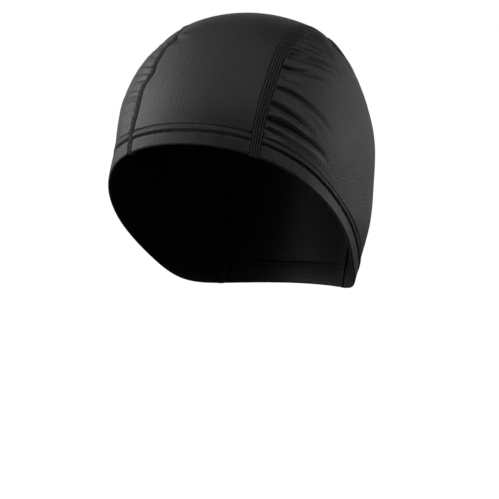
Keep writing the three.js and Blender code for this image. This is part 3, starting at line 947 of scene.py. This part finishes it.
@dataclass(frozen=True)
class Gather:
    """One fold of a side panel.

    The place where it leaves the seam, its half width, drift and bend are shares of the seam,
    counted from the front hem. Its depth is a share of the deepest fold's, and its reach a share
    of the panel, from the seam to its low border.
    """

    at: float
    width: float
    depth: float
    reach: float
    drift: float
    bend: float


LEFT_GATHERS = (
    Gather(0.004, 0.008, 0.35, 0.12, 0.02, 0.0),
    Gather(0.0135, 0.01, 0.6, 0.2, 0.0, 0.0),
    Gather(0.032, 0.014, 1.0, 0.6, 0.035, 0.05),
    Gather(0.046, 0.008, 0.35, 0.14, 0.1, 0.0),
    Gather(0.062, 0.013, 0.85, 0.42, 0.05, 0.0),
    Gather(0.098, 0.013, 0.8, 0.5, 0.15, 0.0),
    Gather(0.125, 0.01, 0.3, 0.2, 0.2, 0.2),
    Gather(0.139, 0.009, 0.3, 0.12, 0.27, 0.0),
    Gather(0.157, 0.013, 1.1, 0.28, 0.15, 1.1),
    Gather(0.189, 0.009, 0.8, 0.3, 0.25, 1.1),
    Gather(0.2, 0.009, 0.7, 0.26, 0.27, 1.3),
    Gather(0.221, 0.009, 0.8, 0.28, 0.2, 1.5),
    Gather(0.245, 0.01, 0.3, 0.2, 0.25, 1.2),
    Gather(0.272, 0.011, 0.45, 0.2, 0.25, 1.2),
    Gather(0.306, 0.011, 0.45, 0.2, 0.28, 0.8),
    Gather(0.352, 0.014, 0.6, 0.24, 0.25, 0.6),
    Gather(0.4, 0.02, 0.4, 0.26, 0.1, 0.3),
    Gather(0.455, 0.02, 0.4, 0.28, 0.0, 0.0),
    Gather(0.51, 0.022, 0.45, 0.3, -0.05, -0.2),
    Gather(0.565, 0.02, 0.4, 0.3, -0.12, -0.4),
    Gather(0.62, 0.022, 0.5, 0.3, -0.18, -0.5),
    Gather(0.675, 0.02, 0.5, 0.3, -0.2, -0.6),
    Gather(0.73, 0.022, 0.6, 0.32, -0.2, -0.5),
    Gather(0.785, 0.02, 0.6, 0.34, -0.18, -0.3),
    Gather(0.835, 0.018, 0.7, 0.36, -0.15, -0.1),
    Gather(0.88, 0.018, 0.8, 0.4, -0.1, 0.0),
    Gather(0.92, 0.016, 0.8, 0.42, -0.06, 0.0),
    Gather(0.955, 0.014, 0.6, 0.36, -0.03, 0.0),
    Gather(0.98, 0.012, 0.4, 0.2, 0.0, 0.0),
)

RIGHT_GATHERS = (
    Gather(0.012, 0.01, 0.4, 0.16, 0.02, 0.0),
    Gather(0.036, 0.01, 0.4, 0.2, 0.02, 0.0),
    Gather(0.051, 0.01, 0.5, 0.25, 0.03, 0.0),
    Gather(0.067, 0.014, 1.3, 0.5, 0.12, 0.1),
    Gather(0.087, 0.012, 0.7, 0.4, 0.14, 0.4),
    Gather(0.108, 0.012, 0.7, 0.3, 0.2, 0.2),
    Gather(0.13, 0.012, 0.8, 0.3, 0.15, 0.8),
    Gather(0.15, 0.012, 0.7, 0.3, 0.2, 0.9),
    Gather(0.178, 0.01, 0.4, 0.24, 0.25, 1.0),
    Gather(0.205, 0.01, 0.45, 0.24, 0.25, 1.1),
    Gather(0.232, 0.012, 0.5, 0.24, 0.25, 1.2),
    Gather(0.262, 0.012, 0.5, 0.22, 0.25, 1.1),
    Gather(0.3, 0.014, 0.5, 0.22, 0.25, 0.8),
    Gather(0.345, 0.016, 0.45, 0.24, 0.2, 0.6),
    Gather(0.395, 0.02, 0.4, 0.26, 0.1, 0.3),
    Gather(0.445, 0.022, 0.45, 0.28, 0.02, 0.0),
    Gather(0.495, 0.02, 0.4, 0.3, -0.04, -0.1),
    Gather(0.55, 0.022, 0.5, 0.3, -0.1, -0.3),
    Gather(0.605, 0.022, 0.45, 0.3, -0.16, -0.5),
    Gather(0.66, 0.02, 0.5, 0.32, -0.2, -0.6),
    Gather(0.71, 0.022, 0.6, 0.32, -0.2, -0.5),
    Gather(0.765, 0.02, 0.55, 0.34, -0.18, -0.3),
    Gather(0.815, 0.018, 0.65, 0.36, -0.16, -0.1),
    Gather(0.86, 0.018, 0.75, 0.4, -0.1, 0.0),
    Gather(0.905, 0.016, 0.8, 0.42, -0.06, 0.0),
    Gather(0.94, 0.014, 0.65, 0.38, -0.04, 0.0),
    Gather(0.972, 0.012, 0.45, 0.22, 0.0, 0.0),
)


@dataclass(frozen=True)
class SideCut:
    """What sets one side panel apart: its folds, their depth as a share, and its seed."""

    side: Side
    gathers: tuple[Gather, ...]
    slackness: float
    seed: int


SIDE_CUTS = (
    SideCut(Side.LEFT, LEFT_GATHERS, 1.0, 11),
    SideCut(Side.RIGHT, RIGHT_GATHERS, 0.4, 23),
)


@dataclass
class Panels:
    """The three cloth panels between the seams and above the hem.

    A side panel's grid runs from the seam down to its low border, a stretch of the hem.
    """

    form: CapForm
    courses: dict[Side, SeamCourse]
    wall: float = WALL
    foot: float = HEM_HEIGHT + 0.3 * MM
    low_front: float = math.radians(-26)
    low_back: float = math.radians(20)
    roll: float = 0.9 * MM
    roll_rise: float = 0.025
    roll_power: float = 0.7
    roll_reach: float = 0.36
    fold_depth: float = 3.0 * MM
    fold_spread: float = 0.8
    fold_fade: float = 1.3
    fold_at_seam: float = 0.15
    crease_share: float = 0.75
    crease_width: float = 0.3
    lip_ahead: float = 0.9
    lip_share: float = 0.22
    pucker: float = 0.09 * MM
    pucker_wave: float = 0.014
    pucker_reach: float = 9 * MM
    slack: float = 0.2 * MM
    slack_wave: float = 0.05
    slack_waves: int = 5
    slack_reach: float = 30 * MM
    hem_settle: float = 0.02
    mean_reach: float = 85 * MM
    centre_roll: float = 0.35 * MM
    centre_roll_rise: float = 0.8 * MM
    centre_roll_reach: float = 6 * MM
    centre_pucker: float = 0.16 * MM
    centre_pucker_wave: float = 7 * MM
    centre_pucker_rise: float = 1.0 * MM
    centre_pucker_reach: float = 5 * MM
    centre_seeds: tuple[int, int] = (5, 7)
    centre_rows: int = 300
    centre_columns: int = 64
    side_rows: int = 420
    side_columns: int = 74
    front_crowding: float = 0.3
    seam_crowding: float = 1.5

    def build(self) -> None:
        """Build and dress all three panels."""
        knit = PANEL_KNIT.material()
        centre = self.centre()
        finish_piece(centre, knit, "panel_knit", "centre_panel")
        for cut in SIDE_CUTS:
            name = cut.side.name.lower()
            panel = self.side(f"{name}_panel_knit", cut)
            finish_piece(panel, knit, "panel_knit", f"side_panel_{name}")

    def centre(self) -> bpy.types.Object:
        """Build the smooth centre panel, with small puckers where the seams pull it."""
        form, foot = self.form, self.foot
        left, right = self.courses[Side.LEFT], self.courses[Side.RIGHT]
        ends = []
        for end in End:
            _, first = right.foot(-right.panel_edge, foot, end)
            _, last = left.foot(-left.panel_edge, foot, end)
            ends.append(form.hem_run(first, last, foot))
        rows = np.linspace(0, 1, self.centre_rows)
        columns = np.linspace(0, 1, self.centre_columns)
        near, far = right.line(-right.panel_edge, foot), left.line(-left.panel_edge, foot)
        grid = form.fill(near, far, *ends, rows, columns)
        along, across = line_lengths(grid), self.across(grid)
        height = self.centre_height(along, across, self.centre_seeds[0])
        height = height + self.centre_height(along, across[:, -1:] - across, self.centre_seeds[1])
        return self.wall_of("centre_panel_knit", grid, height, across, along)

    def across(self, grid: Array) -> Array:
        """Distance run across a grid of points, counted along its second axis."""
        return np.swapaxes(line_lengths(np.swapaxes(grid, 0, 1)), 0, 1)

    def centre_height(self, along: Array, off: Array, seed: int) -> Array:
        """Height of the centre panel near one seam.

        Args:
            along: Distance run from the front hem.
            off: Distance from the seam.
            seed: Seed of the puckers.

        Returns:
            A shallow roll beside the seam, and puckers that die out within a few millimetres.
            Both rise from nothing at the seam, and then fade exponentially.
        """
        roll = self.centre_roll * np.exp(-off / self.centre_roll_reach)
        roll = roll * (1 - np.exp(-off / self.centre_roll_rise))
        pucker = self.centre_pucker * ripple(along, self.centre_pucker_wave, seed)
        pucker = pucker * np.exp(-off / self.centre_pucker_reach)
        return roll + pucker * (1 - np.exp(-off / self.centre_pucker_rise))

    def side(self, name: str, cut: SideCut) -> bpy.types.Object:
        """Build a side panel with its gathers.

        Args:
            name: Name of the piece.
            cut: The panel's side, folds and seed.

        Returns:
            The new object.
        """
        form, foot, course = self.form, self.foot, self.courses[cut.side]
        edge = course.panel_edge
        starts = [course.foot(edge, foot, end)[1] for end in End]
        lows = [self.low_front, self.low_back]
        if cut.side is Side.RIGHT:
            lows = [-math.pi - low for low in lows]
            starts[1] = starts[1] - 2 * math.pi
        rows = np.linspace(0, 1, self.side_rows)
        rows = rows * (1 - self.front_crowding + self.front_crowding * rows)
        columns = np.linspace(0, 1, self.side_columns) ** self.seam_crowding
        grid = form.fill(
            course.line(edge, foot),
            form.hem_run(lows[0], lows[1], foot),
            form.hem_run(starts[0], lows[0], foot),
            form.hem_run(starts[1], lows[1], foot),
            rows, columns,
        )
        height = self.side_height(rows[:, None], columns[None, :], self.across(grid), cut)
        return self.wall_of(name, grid, height, *self.flat_places(grid))

    def flat_places(self, grid: Array) -> tuple[Array, Array]:
        """Places of a side panel's points in its cloth laid flat.

        Args:
            grid: Points on the form.

        Returns:
            Distances back and up from the panel's middle: the direction seen from the side,
            at a mean reach times the angle that the point lies off the cross axis.
        """
        rays = unit(grid - self.form.core)
        off = np.arccos(np.clip(np.abs(rays[..., 0]), 0, 1))
        scale = self.mean_reach * off / np.maximum(np.sin(off), 1e-6)
        return rays[..., 1] * scale, rays[..., 2] * scale

    def side_height(self, s: Array, t: Array, off: Array, cut: SideCut) -> Array:
        """Height of a side panel off the form.

        Args:
            s: Share of the way along the seam.
            t: Share of the way from the seam to the panel's low border.
            off: Distance from the seam.
            cut: The panel's folds and seed.

        Returns:
            A roll along the seam, cut by the folds, with fine puckers between them. A fold is a
            broad bell across its course with a narrow crease in it and a lip on its hem side. It
            widens and fades as it runs out, the crease faster than the bell.
        """
        rise = np.clip(t / self.roll_rise, 0, 1) ** self.roll_power
        height = self.roll * cut.slackness * rise * (1 - smooth_step(0.0, self.roll_reach, t))
        height = height + np.zeros_like(s * t)
        for gather in cut.gathers:
            course = gather.at + gather.drift * t + gather.bend * t * t
            run_out = np.clip(t / gather.reach, 0, 1)
            place = (s - course) / (gather.width * (1 + self.fold_spread * run_out))
            fade = np.cos(np.pi / 2 * run_out) ** self.fold_fade
            crease = np.exp(-((place / self.crease_width) ** 2))
            sharp = self.crease_share * fade
            dip = ((1 - sharp) * self.bell(place) + sharp * crease) * fade
            dip = dip * (self.fold_at_seam + (1 - self.fold_at_seam) * rise)
            dip = dip - self.lip_share * self.bell(place + self.lip_ahead) * fade * rise
            height = height - self.fold_depth * cut.slackness * gather.depth * dip
        pucker = ripple(s, self.pucker_wave, cut.seed) * np.exp(-off / self.pucker_reach) * rise
        slack = ripple(s, self.slack_wave, cut.seed + 1, self.slack_waves)
        slack = slack * np.exp(-off / self.slack_reach) * rise
        at_hem = np.sqrt(np.clip(np.minimum(s, 1 - s) / self.hem_settle, 0, 1))
        return (height + self.pucker * pucker + self.slack * slack) * at_hem

    def bell(self, place: Array) -> Array:
        """A bell from -1 to 1: half of one plus the cosine of pi times the place."""
        return (1 + np.cos(np.pi * np.clip(place, -1, 1))) / 2

    def wall_of(self, name: str, grid: Array, height: Array, across: Array,
                along: Array) -> bpy.types.Object:
        """Give a grid of the form its height and its cloth's thickness.

        Args:
            name: Name of the piece.
            grid: Points on the form.
            height: Height of the outer face off the form.
            across: Place across the cloth.
            along: Place along the cloth.

        Returns:
            The new object.
        """
        outer = self.form.raised(grid, height)
        inner = self.form.raised(grid, height - self.wall)
        return make_wall(name, outer, inner, np.stack([across, along], -1))


@dataclass
class Seam:
    """A flat seam from hem edge to hem edge: ridges of covered cloth between needle rows."""

    form: CapForm
    course: SeamCourse
    pitch: float = 1.54 * MM
    floor: float = -0.5 * MM
    ridge: float = 0.95 * MM
    ridge_power: float = 0.6
    slot: float = 0.22
    swell: float = 0.16
    sink: float = 2.6 * MM
    tuck: float = 0.55 * MM
    tuck_depth: float = 2.3 * MM
    last_row: float = 3.0 * MM
    hem_height: float = HEM_HEIGHT
    hem_rise: float = HEM_RISE
    hem_step: float = 3 * MM
    stitch: float = 2.1 * MM
    thread_from: float = 0.002
    needle_thread: float = 0.3 * MM
    needle_sunk: float = 0.25
    needle_proud: float = 0.7
    needle_stations: int = 5
    cover_thread: float = 0.13 * MM
    cover_inset: float = 0.3 * MM
    cover_sag: float = 0.62
    cover_lift: float = 0.55
    cover_stations: int = 14
    stations: int = 640
    columns: int = 37
    length_steps: int = 600

    def __post_init__(self) -> None:
        """Lay out the needle rows, the strip's lines, and the shares between which they run."""
        self.width = self.course.width
        pitches = round(self.width / 2 / self.pitch)
        rows = np.arange(-pitches, pitches + 1) * self.pitch
        self.needles = np.clip(rows, -self.last_row, self.last_row)
        self.offs = np.linspace(-self.width / 2, self.width / 2, self.columns)
        self.starts, _ = self.course.foot(self.offs, 0.0, End.FRONT)
        self.stops, _ = self.course.foot(self.offs, 0.0, End.BACK)
        middle = self.points(np.linspace(0, 1, self.length_steps), np.zeros(self.length_steps))
        self.length = float(line_lengths(middle)[-1])
        self.stitches = round(self.length / self.stitch)

    def build(self) -> None:
        """Build and dress the strip and its threads."""
        name = f"seam_{self.course.side.name.lower()}"
        finish_piece(self.strip(f"{name}_strip"), SEAM_KNIT.material(), "seam_thread", name)
        # The needle threads' near-black colour is painted shade of the seam's grooves.
        finish_piece(self.needle_rows(f"{name}_needles"), SEAM_THREAD_AND_GROOVE_SHADE.material(), "seam_thread")
        # The cover thread's lighter colour is painted sheen.
        finish_piece(self.cover(f"{name}_cover"), COVER_THREAD_AND_SHEEN.material(), "seam_thread")

    def points(self, share: Array, off: Array) -> Array:
        """Points of the seam's lines, each counted from its own crossing of the hem edge.

        Args:
            share: Shares of the way from edge to edge.
            off: Distances off the seam's middle.

        Returns:
            The points, on the form.
        """
        start = np.interp(off, self.offs, self.starts)
        stop = np.interp(off, self.offs, self.stops)
        return self.course.points(start + (stop - start) * share, off)

    def on_hem(self, run: Array) -> Array:
        """How far a place lies on the hem, from 0 on the panels to 1."""
        from_end = np.minimum(run, self.length - run)
        return 1 - smooth_step(self.hem_height, self.hem_height + self.hem_step, from_end)

    def top(self, off: Array, run: Array) -> Array:
        """Height of the strip's top face.

        Args:
            off: Distance from the seam's middle.
            run: Distance run from the front hem edge.

        Returns:
            Rounded ridges, the sine of the place across less a share and to a low power, between
            grooves one pitch apart, with a slanting swell once a stitch, lifted on the hem.
        """
        wave = np.abs(np.sin(np.pi * off / self.pitch))
        round_top = np.clip((wave - self.slot) / (1 - self.slot), 0, 1) ** self.ridge_power
        swell = np.cos(2 * np.pi * (run / self.stitch + off / (2 * self.pitch)))
        ridges = self.floor + self.ridge * round_top * (1 + self.swell * swell)
        return ridges + self.hem_rise * self.on_hem(run)

    def strip(self, name: str) -> bpy.types.Object:
        """Build the strip of covered cloth.

        Args:
            name: Name of the piece.

        Returns:
            The new object, its section carried along the seam, with edges tucked inside.
        """
        share = np.linspace(0, 1, self.stations)[:, None]
        run = share * self.length
        edge = self.width / 2
        tucks = np.array([edge, edge + self.tuck])
        offs = np.concatenate([-tucks[::-1], self.offs, tucks])[None, :]
        lines = self.points(share, offs)
        top = self.top(offs, run)
        top[:, [0, 1, -2, -1]] = -self.tuck_depth
        outer = self.form.raised(lines, top)
        inner = self.form.raised(lines, np.full_like(top, -self.sink))
        places = np.stack(np.broadcast_arrays(offs, run), -1)
        return make_wall(name, outer, inner, places)

    def shares(self, stations: int) -> Array:
        """Shares of the way that a thread's points stand at, so many to a stitch."""
        return np.linspace(self.thread_from, 1 - self.thread_from, self.stitches * stations)

    def needle_rows(self, name: str) -> bpy.types.Object:
        """Build the needle threads.

        Args:
            name: Name of the piece.

        Returns:
            The new object, one thread to a groove, rising and diving once a stitch.
        """
        share = self.shares(self.needle_stations)
        beat = np.abs(np.sin(np.pi * self.stitches * share))
        paths, outward = [], []
        for off in self.needles:
            base = self.points(share, np.full_like(share, off))
            height = self.top(np.full_like(share, off), share * self.length)
            height = height + self.needle_thread * (self.needle_sunk + self.needle_proud * beat)
            paths.append(self.form.raised(base, height))
            outward.append(self.form.outward(base))
        return make_threads(name, paths, outward, self.needle_thread)

    def cover(self, name: str) -> bpy.types.Object:
        """Build the two cover threads.

        Args:
            name: Name of the piece.

        Returns:
            The new object. Each thread crosses all the ridges to and fro, a straight zigzag half
            a stitch from the other, and hangs between the ridges no lower than a share of them.
        """
        share = self.shares(self.cover_stations)
        run = share * self.length
        sag = self.floor + self.ridge * self.cover_sag + self.hem_rise * self.on_hem(run)
        paths, outward = [], []
        for phase in (0.0, 0.5):
            swing = np.arcsin(np.sin(np.pi * (self.stitches * share + phase))) / (np.pi / 2)
            off = swing * (self.width / 2 - self.cover_inset)
            base = self.points(share, off)
            height = np.maximum(self.top(off, run), sag) + self.cover_thread * self.cover_lift
            paths.append(self.form.raised(base, height))
            outward.append(self.form.outward(base))
        return make_threads(name, paths, outward, self.cover_thread)


@dataclass(frozen=True)
class HemArc:
    """One stretch of hem between two seams, on the inner or the outer side of both."""

    node: str
    off: int
    start_side: Side
    start_end: End
    stop_side: Side
    stop_end: End
    wrap: float = 0.0


HEM_ARCS = (
    HemArc("hem_front", -1, Side.RIGHT, End.FRONT, Side.LEFT, End.FRONT),
    HemArc("hem_left", 1, Side.LEFT, End.FRONT, Side.LEFT, End.BACK),
    HemArc("hem_back", -1, Side.LEFT, End.BACK, Side.RIGHT, End.BACK),
    HemArc("hem_right", 1, Side.RIGHT, End.BACK, Side.RIGHT, End.FRONT, 2 * math.pi),
)


@dataclass
class Hem:
    """The folded hem and its cover stitching, in four arcs between the seams."""

    form: CapForm
    courses: dict[Side, SeamCourse]
    height: float = HEM_HEIGHT
    wall: float = WALL
    rise: float = HEM_RISE
    sink: float = 0.6 * MM
    fold_round: float = 1.4 * MM
    fold_drop: float = 0.6 * MM
    row_low: float = 8.4 * MM
    row_high: float = 11.4 * MM
    groove: float = 1.2 * MM
    groove_half: float = 0.85 * MM
    high_groove: float = 0.24 * MM
    high_groove_half: float = 0.35 * MM
    step_below: float = 0.2 * MM
    ridge: float = 0.35 * MM
    ridge_half: float = 0.95 * MM
    beat: float = 0.38
    swell: float = 0.1 * MM
    swell_wave: float = 9 * MM
    swell_seed: int = 3
    swell_starts: tuple[float, float] = (2 * MM, 7 * MM)
    swell_ends: tuple[float, float] = (10 * MM, 12 * MM)
    flare: float = 2.2 * MM
    flare_power: float = 1.5
    temple: float = math.radians(-32)
    temple_spread: float = math.radians(30)
    stitch: float = 1.9 * MM
    thread: float = 0.22 * MM
    thread_from: float = 0.003
    thread_sunk: float = 0.5
    thread_swing: float = 1.6
    thread_stations: int = 10
    slant: float = 0.75 * MM
    step: float = 0.8 * MM
    outer_count: int = 44
    inner_count: int = 12
    inner_from: float = 0.5 * MM
    bulge_power: float = 0.4
    lip_rise: float = 2.4 * MM
    lip_face: float = 1.4 * MM
    length_steps: int = 200

    def build(self) -> None:
        """Build and dress the four arcs and their two rows of stitches."""
        finishes = HEM_KNIT, HEM_THREAD_AND_GROOVE_SHADE, HEM_COVER_THREAD
        knit, needle, cover = (finish.material() for finish in finishes)
        for arc in HEM_ARCS:
            finish_piece(self.band(arc), knit, "hem_knit", arc.node)
            low = self.threads(arc, "needles", self.row_low, self.slant)
            # The low row's near-black thread colour is painted shade of its groove.
            finish_piece(low, needle, "seam_thread")
            high = self.threads(arc, "cover", self.row_high, self.slant / 2)
            finish_piece(high, cover, "seam_thread")

    def angles(self, arc: HemArc, heights: Array) -> tuple[Array, Array]:
        """Find where an arc of the hem starts and stops.

        Args:
            arc: The arc.
            heights: Heights above the hem edge.

        Returns:
            Its first and its last angle about the vertical, at each height.
        """
        ends = []
        for side, end in ((arc.start_side, arc.start_end), (arc.stop_side, arc.stop_end)):
            course = self.courses[side]
            ends.append(course.foot(arc.off * course.panel_edge, heights, end)[1])
        return ends[0], ends[1] + arc.wrap

    def flare_at(self, angle: Array, height: Array) -> Array:
        """How far the hem stands off the form.

        Args:
            angle: Angles about the vertical.
            height: Heights above the hem edge.

        Returns:
            A bell about each temple, which dies out from the edge to the hem's top.
        """
        side = np.where(np.cos(angle) < 0, -np.pi - angle, angle)
        off = np.arctan2(np.sin(side - self.temple), np.cos(side - self.temple))
        near_edge = (1 - np.clip(height / self.height, 0, 1)) ** self.flare_power
        return self.flare * np.exp(-((off / self.temple_spread) ** 2)) * near_edge

    def outer(self, height: Array, run: Array) -> Array:
        """Height of the hem's outer face off the form.

        Args:
            height: Distance above the hem edge.
            run: Distance run along the hem.

        Returns:
            A folded band, a quarter circle at its edge, with a bell-shaped ridge between two
            stitched grooves, bells too, that pull in once a stitch.
        """
        near_fold = 1 - np.clip(height / self.fold_round, 0, 1)
        rounded = np.sqrt(np.clip(1 - near_fold**2, 0, 1))
        face = self.rise * rounded - self.fold_drop * (1 - rounded)
        upper = self.rise * smooth_step(self.row_high - self.step_below, self.height, height)
        ridge_mid = (self.row_low + self.row_high) / 2
        ridge = self.ridge * np.exp(-(((height - ridge_mid) / self.ridge_half) ** 2))
        beat = 1 - self.beat + self.beat * np.cos(2 * np.pi * run / self.stitch)
        low = self.groove * np.exp(-(((height - self.row_low) / self.groove_half) ** 2))
        high = np.exp(-(((height - self.row_high) / self.high_groove_half) ** 2))
        high = self.high_groove * high
        swell = self.swell * ripple(run, self.swell_wave, self.swell_seed)
        swell = swell * smooth_step(*self.swell_starts, height)
        swell = swell * (1 - smooth_step(*self.swell_ends, height))
        return face - upper + ridge - (low + high) * beat + swell

    def band(self, arc: HemArc) -> bpy.types.Object:
        """Build one arc of the hem.

        Args:
            arc: The arc.

        Returns:
            The new object, with the folded edge's lip standing up behind the panels. Its outer
            lines stand closer at the edge and at the top.
        """
        even = np.linspace(0, 1, self.outer_count)
        outer_heights = ((1 - np.cos(np.pi * even)) / 2 + even) / 2 * self.height
        inner_heights = np.linspace(self.height, self.inner_from, self.inner_count)
        lip_heights = np.array([0.0, self.lip_rise, self.lip_rise]) + self.height
        heights = np.concatenate([outer_heights, lip_heights, inner_heights])
        start, stop = self.angles(arc, heights)
        length = self.arc_length(start[0], stop[0])
        count = int(length / self.step)
        share = np.linspace(0, 1, count)[:, None]
        angle = start + (stop - start) * share
        base = self.form.hem_line(angle, np.broadcast_to(heights, angle.shape))
        run = share * length
        outer = self.outer(outer_heights[None, :], run)
        bulge = np.sin(np.pi * np.clip(inner_heights / self.height, 0, 1)) ** self.bulge_power
        depths = np.array([self.lip_face, self.lip_face, self.wall + self.sink])
        inner = -np.concatenate([depths, self.wall + self.sink * bulge])
        inner = np.broadcast_to(inner, (count, len(inner)))
        lift = np.concatenate([outer, inner], 1) + self.flare_at(angle, heights)
        places = np.stack(np.broadcast_arrays(run, heights), -1)
        return make_bar(f"{arc.node}_knit", self.form.raised(base, lift), places)

    def arc_length(self, start: float, stop: float) -> float:
        """Length of the hem edge between two angles."""
        edge = self.form.hem_edge(np.linspace(start, stop, self.length_steps))
        return float(line_lengths(edge)[-1])

    def threads(self, arc: HemArc, kind: str, row: float, slant: float) -> bpy.types.Object:
        """Build one row of stitches.

        Args:
            arc: The stretch of hem that it runs along.
            kind: Kind of thread, for its name.
            row: Height of the row above the hem edge.
            slant: How far each stitch swings to either side of the row.

        Returns:
            The new object, one thread that dives between its stitches.
        """
        start, stop = self.angles(arc, np.array([row]))
        length = self.arc_length(start[0], stop[0])
        stitches = round(length / self.stitch)
        share = np.linspace(
            self.thread_from, 1 - self.thread_from, stitches * self.thread_stations)
        angle = start + (stop - start) * share
        beat = np.abs(np.sin(np.pi * stitches * share))
        base = self.form.hem_line(angle, row + slant * np.sin(2 * np.pi * stitches * share))
        lift = self.outer(np.full_like(share, row), share * length)
        lift = lift + self.thread * (self.thread_swing * beat - self.thread_sunk)
        lift = lift + self.flare_at(angle, np.array(row))
        path, outward = self.form.raised(base, lift), self.form.outward(base)
        return make_threads(f"{arc.node}_{kind}", [path], [outward], self.thread)


@dataclass(frozen=True)
class SoftBox:
    """A soft light: degrees to the right of the camera and above the cap, and its watts."""

    name: str
    bearing: float
    elevation: float
    power: float


SOFT_BOXES = (
    SoftBox("key_high", -110, 35, 10.8),
    SoftBox("key_low", -110, 5, 7.8),
    SoftBox("front_left", -60, 5, 7.8),
    SoftBox("front_right", 60, 35, 4.6),
    SoftBox("side_right", 110, 5, 4.0),
    SoftBox("rim_right", 135, 5, 1.2),
    SoftBox("top_light", 0, 75, 3.2),
    SoftBox("back_left", -155, 10, 1.0),
    SoftBox("back_right", 170, 10, 1.5),
)


@dataclass
class Studio:
    """Camera, lights and pale floor."""

    azimuth: float = math.radians(21.83)
    elevation: float = math.radians(2.03)
    distance: float = 1.5
    target_depth: float = 80 * MM
    crown_top: float = 1.2 * MM
    pixel: float = 0.617 * MM
    target_column: float = 246.78
    target_row: float = 142.91
    frame_size: float = 499.0
    sensor: float = 36.0
    nearest: float = 0.01
    farthest: float = 50.0
    floor_depth: float = 0.62
    floor_half: float = 12.0
    floor_grey: float = 0.9
    floor_roughness: float = 0.9
    surround: float = 0.03
    box_size: float = 1.0
    box_distance: float = 1.6

    def build(self) -> None:
        """Build the whole studio."""
        self.camera()
        self.lights()
        self.floor()

    def camera(self) -> None:
        """Place the camera and turn it until the cap falls where the photograph has it."""
        target = Vector((0, 0, self.crown_top - self.target_depth))
        az, el = self.azimuth, self.elevation
        back = Vector((math.sin(az) * math.cos(el), -math.cos(az) * math.cos(el), math.sin(el)))
        right = Vector((math.cos(az), math.sin(az), 0))
        up = back.cross(right)
        middle = self.frame_size / 2
        aim = target + right * ((middle - self.target_column) * self.pixel)
        aim = aim - up * ((middle - self.target_row) * self.pixel)
        data = bpy.data.cameras.new("camera")
        data.sensor_width = self.sensor
        data.lens = self.sensor * self.distance / (self.frame_size * self.pixel)
        data.clip_start, data.clip_end = self.nearest, self.farthest
        camera = bpy.data.objects.new("camera", data)
        camera.location = target + back * self.distance
        camera.rotation_mode = "QUATERNION"
        camera.rotation_quaternion = (aim - camera.location).to_track_quat("-Z", "Y")
        bpy.context.scene.collection.objects.link(camera)
        bpy.context.scene.camera = camera

    def lights(self) -> None:
        """Light the cap with its soft boxes, and show a white surround to the camera alone."""
        for box in SOFT_BOXES:
            self.soft_box(box)
        world = bpy.data.worlds.new("studio")
        world.use_nodes = True
        nodes, links = world.node_tree.nodes, world.node_tree.links
        nodes["Background"].inputs["Color"].default_value = (1, 1, 1, 1)
        nodes["Background"].inputs["Strength"].default_value = self.surround
        seen = nodes.new("ShaderNodeBackground")
        seen.inputs["Color"].default_value = (1, 1, 1, 1)
        seen.inputs["Strength"].default_value = 1.0
        path = nodes.new("ShaderNodeLightPath")
        mix = nodes.new("ShaderNodeMixShader")
        links.new(path.outputs["Is Camera Ray"], mix.inputs["Fac"])
        links.new(nodes["Background"].outputs["Background"], mix.inputs[1])
        links.new(seen.outputs["Background"], mix.inputs[2])
        links.new(mix.outputs["Shader"], nodes["World Output"].inputs["Surface"])
        bpy.context.scene.world = world
        bpy.context.scene.view_settings.view_transform = "Standard"

    def soft_box(self, box: SoftBox) -> None:
        """Add a square soft light that faces the cap.

        Args:
            box: Its bearing, elevation and power.
        """
        data = bpy.data.lights.new(box.name, "AREA")
        data.size, data.energy = self.box_size, box.power
        light = bpy.data.objects.new(box.name, data)
        turn, rise = self.azimuth + math.radians(box.bearing), math.radians(box.elevation)
        toward = Vector((math.sin(turn) * math.cos(rise), -math.cos(turn) * math.cos(rise),
                         math.sin(rise)))
        light.location = Vector((0, 0, -self.target_depth)) + toward * self.box_distance
        light.rotation_mode = "QUATERNION"
        light.rotation_quaternion = (-toward).to_track_quat("-Z", "Y")
        bpy.context.scene.collection.objects.link(light)

    def floor(self) -> None:
        """Lay the pale floor well below the cap."""
        half, grey = self.floor_half, self.floor_grey
        mesh = bpy.data.meshes.new("floor")
        corners = [(-half, -half), (half, -half), (half, half), (-half, half)]
        mesh.from_pydata([(x, y, -self.floor_depth) for x, y in corners], [], [(0, 1, 2, 3)])
        floor = bpy.data.objects.new("floor", mesh)
        made = bpy.data.materials.new("floor")
        made.use_nodes = True
        shader = made.node_tree.nodes["Principled BSDF"]
        shader.inputs["Base Color"].default_value = (grey, grey, grey, 1)
        shader.inputs["Roughness"].default_value = self.floor_roughness
        shader.inputs["Emission Color"].default_value = (1, 1, 1, 1)
        shader.inputs["Emission Strength"].default_value = 1.0
        mesh.materials.append(made)
        floor.visible_diffuse = False
        floor.visible_glossy = False
        bpy.context.scene.collection.objects.link(floor)


def main() -> None:
    """Build the cap and its studio in order."""
    logging.basicConfig(level=logging.INFO, format="%(name)s: %(message)s")
    Studio().build()
    form = CapForm()
    courses = {side: SeamCourse(form, side) for side in Side}
    Panels(form, courses).build()
    for side in Side:
        Seam(form, courses[side]).build()
    Hem(form, courses).build()


if __name__ == "__main__":
    main()
